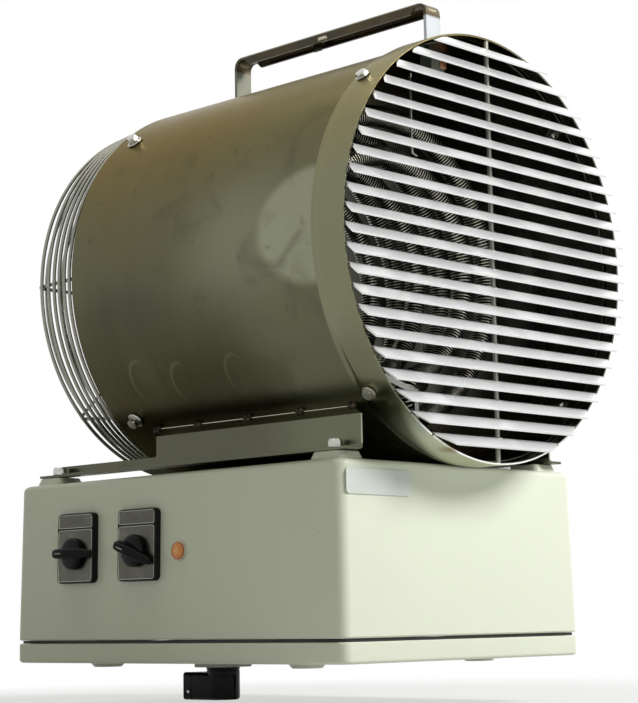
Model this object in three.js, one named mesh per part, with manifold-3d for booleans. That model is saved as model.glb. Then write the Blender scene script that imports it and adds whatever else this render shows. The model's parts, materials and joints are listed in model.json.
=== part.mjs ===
// Portable forced air heater: a stainless drum with a louvred outlet and a wire basket intake,
// standing in two folded cradle rails on a painted control enclosure.
// Millimetres, +Z up, outlet towards -Y, switches on the -X face. The origin is the middle of the
// plane that the four foot pads stand on.

import * as THREE from 'three';
import { mergeVertices, toCreasedNormals } from 'three/addons/utils/BufferGeometryUtils.js';
import Module from 'manifold-3d';

const wasm = await Module();
wasm.setup();

// ---- driving dimensions ----

const seat = 0.3; // gap between two pieces that touch
const wireSides = 4;

// control enclosure
const footHeight = 4;
const footRadius = 14.75;
const footTaper = 2;
const footStem = 4;
const footX = 106;
const footY = 121;
const boxWidth = 294; // along X, at the foot of the body
const boxLength = 398; // along Y
const lidHeight = 16.5;
const lidFloor = 4.5;
const jointGap = 2.8; // shadow gap between lid and body
const gasketInset = 3;
const gasketWidth = 4;
const bodyHeight = 135.7;
const boxWall = 4;
const draft = THREE.MathUtils.degToRad(1);
const cornerRadius = 9.5;
const topEdge = 5;
const lidEdge = 3;
const bossSize = 18;
const bossInset = 11;
const lidScrewRadius = 2.5;
const lidScrewDepth = 14;
const lugWidth = 28.4;
const lugLength = 33.2;
const lugTaper = 1.4;
const lugHeight = 6.6;
const lugInsetX = 10.6;
const lugInsetFront = 10.6;
const lugInsetRear = 15.6;
const lugEdge = 1.6;

// drum and outlet
const drumRadius = 172;
const drumSheet = 1.4;
const drumOverhang = 21.4; // of the drum in front of the enclosure
const drumRear = 90;
const drumLift = 0.7; // drum above the enclosure's top
const drumSides = 56;
const collarStep = 3; // of the collar's outside above the drum's
const collarSheet = 1.6;
const collarReach = 12.3; // in front of the drum
const collarLap = 22.4; // over the drum
const collarLip = 5; // length of the tight rear lip
const collarBoltInset = 11.4; // behind the drum's front
const guardBoltY = 64;

// louvre grille
const bladePitch = 15.2;
const bladeMargin = 7.7; // from the collar's inside to the first blade's rear edge
const bladeDepth = 11.6;
const bladeThickness = 1.7;
const bladeAngle = THREE.MathUtils.degToRad(45);
const grilleRodRadius = 2;
const grilleRodX = 3;

// fasteners
const boltRadius = 3;
const boltHeadFlats = 10;
const boltHeadHeight = 4;
const boltNutHeight = 4.5;
const boltClearance = 0.4;
const washerRadius = 7;
const washerHeight = 1.6;
const lugBoltRadius = 3;
const lugBoltFlats = 10;
const lugBoltHead = 5;
const lugBoltDepth = 12;
const lugBoltOut = 4.8; // outside the lug's middle
const lugBoltAhead = [3.7, 4.8]; // in front of the front and the rear lug's middle

// cradle rails
const railSheet = 2;
const railWebInset = 3.7; // of the web's outer face from the lug's middle
const railFlange = 15.8;
const railInsetFront = 4.5; // from the enclosure's front
const railInsetRear = 18;
const railTallRear = 42;
const railLipSlope = 12;
const railKneeDrop = 12.8; // of the bend line below the drum
const railLean = 5.9;
const railNose = 13.5;
const railLip = 8.4;
const railBend = 2.5;

// carry handle
const handleInset = 44.4; // of the front leg behind the drum's front
const handleRear = 53.5;
const handleRise = 46; // above the drum
const handleWidth = 18;
const handleSheet = 3;
const handleCorner = 9;
const gripFold = 8;
const gripSheet = 2;
const gripNotch = 14;
const handleTabY = -43;
const handleTab = 9;

// rear guard
const wireRadius = 1.6;
const guardRingYs = [98, 106, 114, 122, 131, 142];
const guardTaper = 0.11; // inward slope of the basket's side
const guardInset = 2.6; // of the first ring's middle from the drum's inside
const guardShoulder = 8;
const guardBackPitch = 16.5;
const guardSpokes = 8;
const guardBack = 151.5;
const tabLength = 18;
const tabWidth = 16;
const tabSheet = 2;

// fan
const plateRadius = 62;
const plateSheet = 3;
const motorRadius = 46;
const motorLength = 58;
const shaftRadius = 6;
const hubRadius = 42;
const hubFront = 36;
const hubRear = 76;
const hubWall = 3;
const tipClearance = 14.6;
const fanBlades = 5;
const fanRest = THREE.MathUtils.degToRad(15); // where the blades happen to stand
const fanMiddle = 56;
const shaftNutFlats = 19;
const shaftNutHeight = 9;

// heating elements
const elementInsets = [99.7, 153.2, 206.7]; // behind the drum's front
const elementRoom = 40.6; // from the drum's inside to the outer loop
const loopStep = 34;
const elementBend = 17;
const finRadius = 9.5;
const legRadius = 4.2;
const outerLegX = -45;
const innerLegX = -8;
const loopEnd = THREE.MathUtils.degToRad(-72);
const elementSides = 6;
const legReach = 26; // below the carrier plate
const plateMargin = 16;
const carrierSheet = 3;
const legHoleMargin = 2;

// switches and pilot lamp, on the switch face
const faceHeight = 78; // of the bezels' middle above the body's lower edge
const switchYs = [110.2, 30.2];
const knobTurns = [90, 65]; // of the bar handles at rest, from upright
const bezelWidth = 48;
const bezelHeight = 60;
const bezelDepth = 6;
const bezelCorner = 5;
const plateWidth = 45;
const legendHeight = 11.5;
const plateGroove = 1.6;
const plateDepth = 0.8;
const knobDrop = 5; // of the knob's centre below the bezel's
const knobRadius = 13.5;
const knobBase = 7;
const knobBarWidth = 9;
const knobShort = 12.5; // of the lever's high end from the axis
const knobLong = 25; // of its low end
const knobReach = 16.5; // of the high end above the plate
const knobTip = 5;
const knobStem = 4;
const neckRadius = 12;
const blockSize = 42;
const blockDepth = 45;
const lampY = -16.7;
const lampHeight = 71.5;
const lampRadius = 7.5;
const lampRim = 0.9;
const lampFoot = 1;
const lampDome = 2.6;
const lampNeck = 5.5;
const lampBody = 26;

// label plate, on the front face
const labelX = -101;
const labelWidth = 70;
const labelHeight = 20;
const labelSheet = 0.5;
const labelRise = 118; // of its middle above the body's lower edge

// power inlet
const inletY = 88;
const inletPad = 37.5;
const inletPadHeight = 7.3;
const inletNeck = 15.2;
const inletBore = 9;
const inletNeckDrop = 4.1;
const inletWidth = 30;
const inletLength = 52.6;
const inletHeight = 24.6;
const inletCorner = 3;
const inletWall = 3;
const inletDepth = 24;
const pinRadius = 1.6;
const pinRing = 6;
const pinLength = 11;

// control gear in the enclosure
const railBarWidth = 35;
const railBarHeight = 7.5;
const railBarLength = 220;
const contactorSize = [76, 45, 82];
const terminalSize = [46, 60, 38];

// thermal cut-out
const cutoutX = -8;
const cutoutInset = 39.4; // behind the drum's front
const cutoutSize = [14, 12, 15];
const probeInset = 64.4; // behind the drum's front
const probeX = -7;
const probeRadius = 1.1;
const probeLength = 72;
const stayX = [-46, 17];
const stayWidth = 5;
const staySheet = 1.5;

// ---- derived places ----

const lidTop = footHeight + lidHeight;
const bodyBottom = lidTop + jointGap;
const bodyTop = bodyBottom + bodyHeight;
const lugTop = bodyTop + lugHeight;
const axisZ = bodyTop + drumLift + drumRadius;
const drumInner = drumRadius - drumSheet;
const drumFront = -(boxLength / 2 + drumOverhang);
const collarRadius = drumRadius + collarStep;
const collarInner = collarRadius - collarSheet;
const collarFront = drumFront - collarReach;
const collarRear = drumFront + collarLap;
const collarBoltY = drumFront + collarBoltInset;
const bladeTop = collarInner - bladeMargin;
const bladeCount = 1 + Math.floor(2 * bladeTop / bladePitch);
const handleFront = drumFront + handleInset;
const guardRingRadius = drumInner - guardInset;
const bladeTipRadius = drumInner - tipClearance;
const elementYs = elementInsets.map((inset) => drumFront + inset);
const outerLoop = drumInner - elementRoom;
const innerLoop = outerLoop - loopStep;
const cutoutY = drumFront + cutoutInset;
const probeY = drumFront + probeInset;
const railFloor = lugTop + seat;

// ---- solids ----

const { Vector2, Vector3, Matrix4 } = THREE;

// A closed solid from any closed geometry, with its faces turned outward.
function solid(source) {
  const bare = source.clone();
  for (const key of Object.keys(bare.attributes)) {
    if (key !== 'position') bare.deleteAttribute(key);
  }
  const merged = mergeVertices(bare, 1e-4);
  const points = merged.attributes.position.array;
  const corners = merged.index.array;
  const kept = [];
  let volume = 0;
  const [a, b, c] = [new Vector3(), new Vector3(), new Vector3()];
  for (let i = 0; i < corners.length; i += 3) {
    const [p, q, r] = corners.slice(i, i + 3);
    if (p === q || q === r || r === p) continue;
    a.fromArray(points, 3 * p);
    b.fromArray(points, 3 * q);
    c.fromArray(points, 3 * r);
    volume += a.dot(b.cross(c));
    kept.push([p, q, r]);
  }
  const faces = kept.map(([p, q, r]) => (volume < 0 ? [p, r, q] : [p, q, r]));
  return new wasm.Manifold(new wasm.Mesh({
    numProp: 3,
    vertProperties: Float32Array.from(points),
    triVerts: Uint32Array.from(faces.flat()),
  }));
}

function geometryOf(body) {
  const { vertProperties, triVerts } = body.getMesh();
  const made = new THREE.BufferGeometry();
  made.setAttribute('position', new THREE.BufferAttribute(vertProperties, 3));
  made.setIndex(new THREE.BufferAttribute(triVerts, 1));
  return toCreasedNormals(made, 0.6);
}

const join = (first, ...rest) => rest.reduce((sum, one) => sum.add(one), first);
const cut = (first, ...rest) => rest.reduce((sum, one) => sum.subtract(one), first);

// A box from its lowest to its highest corner.
function block([x0, y0, z0], [x1, y1, z1]) {
  const made = new THREE.BoxGeometry(x1 - x0, y1 - y0, z1 - z0);
  return solid(made.translate((x0 + x1) / 2, (y0 + y1) / 2, (z0 + z1) / 2));
}

// A round bar between two points.
function bar(from, to, radius, sides = 16) {
  const along = new Vector3().subVectors(to, from);
  const made = new THREE.CylinderGeometry(radius, radius, along.length(), sides);
  const turn = new THREE.Quaternion().setFromUnitVectors(new Vector3(0, 1, 0), along.clone().normalize());
  made.applyQuaternion(turn);
  return solid(made.translate(...from.clone().addScaledVector(along, 0.5).toArray()));
}

// A body of revolution about +Y, from a profile of [radius, height] pairs.
// A hollow one's profile closes on itself.
function turned(profile, sides) {
  const points = profile.map(([r, y]) => new Vector2(r, y));
  return new THREE.LatheGeometry(points, sides);
}
const ringOf = (profile, sides) => solid(turned([...profile, profile[0]], sides));
const turnedZ = (profile, sides) => turned(profile, sides).rotateX(Math.PI / 2);

// A closed solid through a row of rings that have as many points each.
function loft(rings) {
  const count = rings[0].length;
  const points = rings.flat();
  const index = [];
  for (let i = 0; i < rings.length - 1; i += 1) {
    for (let j = 0; j < count; j += 1) {
      const [p, q] = [i * count + j, i * count + ((j + 1) % count)];
      index.push(p, q, q + count, p, q + count, p + count);
    }
  }
  const last = (rings.length - 1) * count;
  for (let j = 1; j < count - 1; j += 1) {
    index.push(0, j + 1, j, last, last + j, last + j + 1);
  }
  const made = new THREE.BufferGeometry().setFromPoints(points);
  made.setIndex(index);
  return solid(made);
}

// A rectangle with round corners, level at the height z.
function roundedRing(width, length, radius, z, steps = 4) {
  const ring = [];
  const corners = [[1, 1], [-1, 1], [-1, -1], [1, -1]];
  corners.forEach(([sx, sy], k) => {
    for (let i = 0; i <= steps; i += 1) {
      const angle = (k + i / steps) * Math.PI / 2;
      const x = sx * (width / 2 - radius) + radius * Math.cos(angle);
      const y = sy * (length / 2 - radius) + radius * Math.sin(angle);
      ring.push(new Vector3(x, y, z));
    }
  });
  return ring;
}

// An outline of [u, v] pairs pushed from one w to another; place(u, v, w) sets its points.
function prism(outline, from, to, place) {
  const flat = outline.map(([u, v]) => new Vector2(u, v));
  if (THREE.ShapeUtils.isClockWise(flat)) flat.reverse();
  const points = [from, to].flatMap((w) => flat.map(({ x, y }) => place(x, y, w)));
  const count = flat.length;
  const index = [];
  for (let j = 0; j < count; j += 1) {
    const q = (j + 1) % count;
    index.push(j, q, q + count, j, q + count, j + count);
  }
  for (const [p, q, r] of THREE.ShapeUtils.triangulateShape(flat, [])) {
    index.push(p, r, q, p + count, q + count, r + count);
  }
  const made = new THREE.BufferGeometry().setFromPoints(points);
  made.setIndex(index);
  return solid(made);
}
const alongY = (u, v, w) => new Vector3(u, w, v);
const alongX = (u, v, w) => new Vector3(w, u, v);

// A hexagon's corners, for a size across its flats.
function hexagon(flats) {
  const reach = flats / Math.sqrt(3);
  return Array.from({ length: 6 }, (_, k) => {
    const angle = k * Math.PI / 3;
    return [reach * Math.cos(angle), reach * Math.sin(angle)];
  });
}
const hexPrism = (flats, z0, z1) => prism(hexagon(flats), z0, z1, (u, v, w) => new Vector3(u, v, w));

// A point on a circle about the drum's axis; the angle runs from +X towards +Z.
const onDrum = (radius, angle, y) => (
  new Vector3(radius * Math.cos(angle), y, axisZ + radius * Math.sin(angle))
);
const atAxis = (body) => body.translate([0, 0, axisZ]);
const diagonals = [45, 135, 225, 315].map((angle) => THREE.MathUtils.degToRad(angle));

// ---- group and materials ----

const heater = new THREE.Group();

const paint = { color: 0x9aa387, roughness: 0.42, metalness: 0.1 };
const stainless = { color: 0x8d8a78, roughness: 0.32, metalness: 1 };
const brightSteel = { color: 0xd4d6d4, roughness: 0.25, metalness: 1 };
const rail = { color: 0x77776a, roughness: 0.4, metalness: 1 };
const blackPlastic = { color: 0x17181a, roughness: 0.45, metalness: 0 };
const rubber = { color: 0x1d1d1c, roughness: 0.8, metalness: 0 };
const greyPlastic = { color: 0xb9bcb6, roughness: 0.5, metalness: 0 };
const sheath = { color: 0x7d7466, roughness: 0.45, metalness: 0.9 };

function add(name, body, look, parent = heater) {
  const mesh = new THREE.Mesh(geometryOf(body), new THREE.MeshStandardMaterial(look));
  mesh.name = name;
  parent.add(mesh);
  return mesh;
}

// ---- enclosure ----

const lean = (height) => 2 * height * Math.tan(draft);

// Corner blocks that a cover's screws run in, for each quarter of the enclosure.
const quarters = [[-1, -1], [1, -1], [1, 1], [-1, 1]];
function cornerBlocks(z0, z1) {
  return quarters.map(([sx, sy]) => {
    const [x0, x1] = [boxWidth / 2 - bossSize, boxWidth / 2 + 1].map((x) => sx * x).sort((p, q) => p - q);
    const [y0, y1] = [boxLength / 2 - bossSize, boxLength / 2 + 1].map((y) => sy * y).sort((p, q) => p - q);
    return block([x0, y0, z0], [x1, y1, z1]);
  });
}
const screwPlaces = quarters.map(([sx, sy]) => [
  sx * (boxWidth / 2 - bossInset),
  sy * (boxLength / 2 - bossInset),
]);
const post = (x, y, z0, z1, radius, sides = 12) => (
  bar(new Vector3(x, y, z0), new Vector3(x, y, z1), radius, sides)
);

function outerBody() {
  const rings = [];
  const ring = (height, inset) => {
    const side = lean(height) + 2 * inset;
    rings.push(roundedRing(boxWidth - side, boxLength - side, cornerRadius, bodyBottom + height));
  };
  ring(0, 0);
  for (let i = 0; i <= 3; i += 1) {
    const angle = i * Math.PI / 6;
    ring(bodyHeight - topEdge * (1 - Math.sin(angle)), topEdge * (1 - Math.cos(angle)));
  }
  return loft(rings);
}

function bodyCavity() {
  const ring = (height) => {
    const side = lean(height) + 2 * boxWall;
    return roundedRing(boxWidth - side, boxLength - side, cornerRadius - boxWall, bodyBottom + height, 2);
  };
  const space = loft([ring(-1), ring(bodyHeight - boxWall)]);
  return cut(space, ...cornerBlocks(bodyBottom - 2, bodyTop));
}

const lugX = boxWidth / 2 - lugInsetX - lugWidth / 2;
const lugYs = [
  -(boxLength / 2 - lugInsetFront - lugLength / 2),
  boxLength / 2 - lugInsetRear - lugLength / 2,
];
const lugBoltX = lugX + lugBoltOut;
const lugBoltYs = lugYs.map((y, k) => y - lugBoltAhead[k]);
const pick = (pair, sy) => pair[sy < 0 ? 0 : 1];
function lug(sx, sy) {
  const ring = (z, inset) => roundedRing(lugWidth - 2 * inset, lugLength - 2 * inset, 5 - inset, z, 2)
    .map((p) => p.add(new Vector3(sx * lugX, pick(lugYs, sy), 0)));
  return loft([
    ring(bodyTop - boxWall / 2, 0), ring(lugTop - lugEdge, lugTaper), ring(lugTop, lugTaper + lugEdge),
  ]);
}

// The window that the element legs pass, from the legs' own places.
const legWindow = {
  low: [outerLegX - plateMargin, elementYs[0] - plateMargin],
  high: [innerLegX + plateMargin, elementYs.at(-1) + plateMargin],
};
const carrierTop = bodyTop - boxWall - seat;

const faceX = (height) => boxWidth / 2 - height * Math.tan(draft);
function faceHole(y, height, radius) {
  return bar(new Vector3(-faceX(height) - 3, y, bodyBottom + height),
    new Vector3(-faceX(height) + boxWall + 3, y, bodyBottom + height), radius, 16);
}

const knobZ = faceHeight - knobDrop;
const enclosureBody = cut(
  join(cut(outerBody(), bodyCavity()), ...quarters.map(([sx, sy]) => lug(sx, sy))),
  block([...legWindow.low, bodyTop - boxWall - 1], [...legWindow.high, bodyTop + 1]),
  ...switchYs.map((y) => faceHole(y, knobZ, neckRadius + boltClearance)),
  faceHole(lampY, lampHeight, lampNeck + boltClearance),
  ...screwPlaces.map(([x, y]) => (
    post(x, y, bodyBottom - 1, bodyBottom + lidScrewDepth + 2, lidScrewRadius + boltClearance)
  )),
  ...quarters.map(([sx, sy]) => post(
    sx * lugBoltX, pick(lugBoltYs, sy), lugTop - lugBoltDepth - 1, lugTop + 1,
    lugBoltRadius + boltClearance,
  )),
);
add('enclosure_body', enclosureBody, paint);

function lidRing(z, inset) {
  return roundedRing(boxWidth - 2 * inset, boxLength - 2 * inset, cornerRadius - inset / 2, z);
}
const lidBody = loft([
  lidRing(footHeight, lidEdge),
  lidRing(footHeight + 0.3 * lidEdge, 0.3 * lidEdge),
  lidRing(footHeight + lidEdge, 0),
  lidRing(lidTop, 0),
]);
const lidCavity = cut(
  loft([lidFloor, lidHeight + 1].map((height) => roundedRing(
    boxWidth - 2 * boxWall, boxLength - 2 * boxWall, cornerRadius - boxWall, footHeight + height, 2,
  ))),
  ...cornerBlocks(0, bodyBottom),
);
const padRing = (z, inset) => roundedRing(inletPad - 2 * inset, inletPad - 2 * inset, 2, z, 1)
  .map((p) => p.add(new Vector3(0, inletY, 0)));
const inletPadBody = loft([
  padRing(footHeight - inletPadHeight, 1.2),
  padRing(footHeight - inletPadHeight + 1.2, 0),
  padRing(footHeight + 1, 0),
]);
const footPlaces = quarters.map(([sx, sy]) => [sx * footX, sy * footY]);
const headSink = 3.4;
add('enclosure_lid', cut(
  join(cut(lidBody, lidCavity), inletPadBody),
  post(0, inletY, footHeight - inletPadHeight - 1, footHeight + lidFloor + 1, inletBore + boltClearance, 16),
  ...footPlaces.map(([x, y]) => post(x, y, footHeight - 1, footHeight + lidFloor + 1, footStem + seat)),
  ...screwPlaces.map(([x, y]) => post(x, y, footHeight - 1, lidTop + 1, lidScrewRadius + boltClearance)),
  ...screwPlaces.map(([x, y]) => post(x, y, footHeight - 1, footHeight + headSink, 2 * lidScrewRadius + 0.6)),
), paint);

const gasketRing = (inset, z) => roundedRing(
  boxWidth - 2 * inset, boxLength - 2 * inset, Math.max(cornerRadius - inset, 1.5), z, 3,
);
const gasketInner = gasketInset + gasketWidth;
add('enclosure_gasket', cut(
  loft([lidTop + seat, bodyBottom - seat].map((z) => gasketRing(gasketInset, z))),
  loft([lidTop, bodyBottom].map((z) => gasketRing(gasketInner, z))),
), rubber);

footPlaces.forEach(([x, y], k) => {
  const top = footHeight - seat;
  const foot = turnedZ([
    [0, 0], [footRadius - footTaper, 0], [footRadius, top],
    [footStem, top], [footStem, footHeight + lidFloor - 0.5], [0, footHeight + lidFloor - 0.5],
  ], 16);
  add(`foot_${k + 1}`, solid(foot.translate(x, y, 0)), paint);
});

screwPlaces.forEach(([x, y], k) => {
  const headTop = footHeight + headSink - seat;
  const screw = turnedZ([
    [0, headTop - 2.6], [2 * lidScrewRadius - 1, headTop - 2.6], [2 * lidScrewRadius, headTop - 1.4],
    [2 * lidScrewRadius, headTop], [lidScrewRadius, headTop],
    [lidScrewRadius, bodyBottom + lidScrewDepth], [0, bodyBottom + lidScrewDepth + 1],
  ], 10);
  add(`lid_screw_${k + 1}`, solid(screw.translate(x, y, 0)), brightSteel);
});

// ---- cradle rails ----

const drumUnder = (x) => axisZ - Math.sqrt((drumRadius + seat) ** 2 - x * x);

const railWebX = lugX - railWebInset;
const railFront = -(boxLength / 2 - railInsetFront);
const railRear = boxLength / 2 - railInsetRear;
function cradle(side) {
  const outer = railWebX;
  const inner = railWebX - railSheet;
  const flangeTop = railFloor + railSheet;
  const knee = drumUnder(outer) - railKneeDrop;
  const section = [
    [outer + railFlange, railFloor],
    [outer + railFlange, flangeTop],
    [outer + railBend, flangeTop],
    [outer + 0.3 * railBend, flangeTop + 0.3 * railBend],
    [outer, flangeTop + railBend],
    [outer, knee],
    [outer - railLean, drumUnder(outer - railLean)],
    [inner - railLean, drumUnder(inner - railLean)],
    [inner, knee],
    [inner, flangeTop + railBend],
    [inner + 0.4 * railBend, railFloor + 0.4 * railBend],
    [outer + railBend, railFloor],
  ];
  const sheet = prism(section, railFront, railRear, (u, v, w) => alongY(side * u, v, w));
  const top = drumUnder(inner - railLean) + 20;
  const steps = [
    [railTallRear, top],
    [railTallRear, flangeTop + railLip + 1.5],
    [railTallRear + 1.5, flangeTop + railLip],
    [railRear - railLipSlope, flangeTop + railLip],
    [railRear - 0.5, flangeTop + 0.02],
    [railRear + 5, flangeTop + 0.02],
    [railRear + 5, top],
  ];
  const nose = [
    [railFront - 5, knee],
    [railFront, knee],
    [railFront + railNose, drumUnder(outer - railLean)],
    [railFront + railNose, top],
    [railFront - 5, top],
  ];
  const [x0, x1] = [side * (outer + 0.001), side * (inner - railLean - 5)].sort((p, q) => p - q);
  return cut(
    sheet,
    prism(steps, x0, x1, alongX),
    prism(nose, x0, x1, alongX),
    ...[-1, 1].map((sy) => post(
      side * lugBoltX, pick(lugBoltYs, sy), railFloor - 1, flangeTop + 1,
      lugBoltRadius + boltClearance,
    )),
  );
}
add('cradle_left', cradle(-1), rail);
add('cradle_right', cradle(1), rail);

quarters.forEach(([sx, sy], k) => {
  const under = railFloor + railSheet + seat;
  const bolt = join(
    hexPrism(lugBoltFlats, under + washerHeight - 0.1, under + washerHeight + lugBoltHead),
    solid(turnedZ([
      [0, lugTop - lugBoltDepth], [lugBoltRadius, lugTop - lugBoltDepth + 1], [lugBoltRadius, under],
      [lugBoltFlats * 0.58, under], [lugBoltFlats * 0.58, under + washerHeight], [0, under + washerHeight],
    ], 12)),
  );
  add(`lug_bolt_${k + 1}`, bolt.translate([sx * lugBoltX, pick(lugBoltYs, sy), 0]), brightSteel);
});

// ---- drum, collar and their bolts ----

const radialHole = (angle, y, radius) => (
  bar(onDrum(drumRadius - 8, angle, y), onDrum(drumRadius + 8, angle, y), radius, 10)
);
const legXs = [outerLegX, innerLegX];
const legPlaces = elementYs.flatMap((y) => legXs.map((x) => [x, y]));

add('barrel_casing', cut(
  atAxis(ringOf([
    [drumRadius, drumFront], [drumRadius, drumRear], [drumInner, drumRear], [drumInner, drumFront],
  ], drumSides)),
  ...diagonals.map((angle) => radialHole(angle, collarBoltY, boltRadius + boltClearance)),
  ...diagonals.map((angle) => radialHole(angle, guardBoltY, boltRadius + boltClearance)),
  ...legPlaces.map(([x, y]) => post(x, y, bodyTop - 1, axisZ - outerLoop - 20, legRadius + legHoleMargin)),
), stainless);

const lipFront = collarRear - collarLip;
const lipInner = drumRadius + seat;
add('outlet_collar', cut(
  atAxis(ringOf([
    [collarInner, collarFront], [collarRadius, collarFront],
    [collarRadius, lipFront - 1.6], [lipInner + collarSheet, lipFront], [lipInner + collarSheet, collarRear],
    [lipInner, collarRear], [lipInner, lipFront], [collarInner, lipFront - 1.6],
  ], drumSides)),
  ...diagonals.map((angle) => radialHole(angle, collarBoltY, boltRadius + boltClearance)),
), stainless);

// A bolt along +Z through sheet between the radii inside and outside, its nut inside.
function sheetBolt(inside, outside, washer) {
  const head = outside + seat + washer;
  const core = turned([
    [0, inside - seat - boltNutHeight - 2], [boltRadius, inside - seat - boltNutHeight - 2],
    [boltRadius, outside + seat], ...(washer
      ? [[washerRadius, outside + seat], [washerRadius, head], [0, head]]
      : [[boltRadius, head + 1], [0, head + 1]]),
  ], 10).rotateX(Math.PI / 2);
  return join(
    solid(core),
    hexPrism(boltHeadFlats, head - 0.05, head + boltHeadHeight),
    hexPrism(boltHeadFlats, inside - seat - boltNutHeight, inside - seat),
  );
}
function radialGroup(angle, y) {
  const group = new THREE.Group();
  group.position.set(0, y, axisZ);
  group.rotation.y = Math.PI / 2 - angle;
  heater.add(group);
  return group;
}
const flatIn = (radius) => radius * Math.cos(Math.PI / drumSides) - 0.1;
diagonals.forEach((angle, k) => {
  const front = radialGroup(angle, collarBoltY);
  add(`collar_bolt_${k + 1}`, sheetBolt(flatIn(drumInner), collarRadius, 0), brightSteel, front);
  const rear = radialGroup(angle, guardBoltY);
  const bolt = sheetBolt(flatIn(drumInner) - seat - tabSheet - seat, drumRadius, 2 * washerHeight);
  add(`guard_bolt_${k + 1}`, bolt, brightSteel, rear);
});

// ---- louvre grille ----

function louvreGrille() {
  const back = collarFront;
  const [run, rise] = [bladeDepth * Math.cos(bladeAngle), bladeDepth * Math.sin(bladeAngle)];
  const [ty, tz] = [bladeThickness * Math.sin(bladeAngle), bladeThickness * Math.cos(bladeAngle)];
  const bound = collarInner - seat;
  const blades = Array.from({ length: bladeCount }, (_, k) => {
    const z = bladeTop - k * bladePitch;
    const outline = [
      [back, z], [back - run, z - rise],
      [back - run + ty, z - rise - tz], [back + ty, z - tz],
    ];
    return prism(outline, -bound, bound, alongX);
  });
  const rod = bar(new Vector3(grilleRodX, back + ty + grilleRodRadius / 2, -bound - 2),
    new Vector3(grilleRodX, back + ty + grilleRodRadius / 2, bound + 2), grilleRodRadius, 8);
  const mouth = solid(turned([
    [0, back - 20], [bound, back - 20], [bound, back + 20], [0, back + 20],
  ], drumSides));
  return atAxis(join(rod, ...blades).intersect(mouth));
}
add('louvre_grille', louvreGrille(), brightSteel);

// ---- rear guard ----

function wireRing(radius, y, steps) {
  const profile = Array.from({ length: wireSides }, (_, k) => {
    const angle = (k + 0.5) * 2 * Math.PI / wireSides;
    return [radius + wireRadius * Math.cos(angle), y + wireRadius * Math.sin(angle)];
  });
  return ringOf(profile, steps);
}

// A wire through points in the plane of a radius and the drum's axis.
function bentWire(path, angle) {
  const up = new Vector3(Math.cos(angle), 0, Math.sin(angle));
  const side = new Vector3(-Math.sin(angle), 0, Math.cos(angle));
  const points = path.map(([r, y]) => up.clone().multiplyScalar(r).setY(y));
  const rings = points.map((p, i) => {
    const before = points[Math.max(i - 1, 0)];
    const after = points[Math.min(i + 1, points.length - 1)];
    const along = new Vector3().subVectors(after, before).normalize();
    const out = new Vector3().crossVectors(side, along).normalize();
    return Array.from({ length: wireSides }, (_, k) => {
      const turn = (k + 0.5) * 2 * Math.PI / wireSides;
      return p.clone()
        .addScaledVector(out, wireRadius * Math.cos(turn))
        .addScaledVector(side, wireRadius * Math.sin(turn));
    });
  });
  return loft(rings);
}

const guardEye = plateRadius - 8; // where the spokes end, on the motor's plate
const guardSide = (y) => guardRingRadius - (y - guardRingYs[0]) * guardTaper;
const tabOuter = flatIn(drumInner) - seat;
function rearGuard() {
  const weld = 1.2 * wireRadius; // wires lie this far apart where they are welded
  const shoulderRing = guardSide(guardBack) - guardShoulder;
  const parts = guardRingYs.map((y) => wireRing(guardSide(y), y, 26));
  const outerRing = shoulderRing - 5;
  const backRings = 1 + Math.floor((outerRing - guardEye - wireRadius) / guardBackPitch);
  for (let k = 0; k < backRings; k += 1) {
    const radius = outerRing - k * guardBackPitch;
    parts.push(wireRing(radius, guardBack + weld, k < 3 ? 24 : 16));
  }
  for (let k = 0; k < guardSpokes; k += 1) {
    const angle = k * 2 * Math.PI / guardSpokes;
    const held = k % 2 === 1;
    const start = held ? guardBoltY + tabLength / 2 - 1.5 : guardRingYs[0] - 3;
    const first = held ? tabOuter - tabSheet - wireRadius * 0.7 : guardSide(start) - weld;
    const path = [
      [first, start],
      [guardSide(guardRingYs[0]) - weld, guardRingYs[0]],
      [guardSide(guardBack - guardShoulder) - weld, guardBack - guardShoulder],
      [guardSide(guardBack) - weld - 0.3 * guardShoulder, guardBack - 0.3 * guardShoulder],
      [shoulderRing - weld, guardBack],
      [guardEye, guardBack],
    ];
    parts.push(bentWire(path, angle));
    if (held) {
      const tab = block([-tabWidth / 2, guardBoltY - tabLength / 2, tabOuter - tabSheet],
        [tabWidth / 2, guardBoltY + tabLength / 2, tabOuter - 0.35]);
      const hole = bar(new Vector3(0, guardBoltY, tabOuter - 9), new Vector3(0, guardBoltY, tabOuter + 9),
        boltRadius + boltClearance, 10);
      parts.push(cut(tab, hole).rotate([0, 90 - THREE.MathUtils.radToDeg(angle), 0]));
    }
  }
  return atAxis(join(...parts));
}
add('rear_guard', rearGuard(), rail);

// ---- carry handle ----

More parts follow.
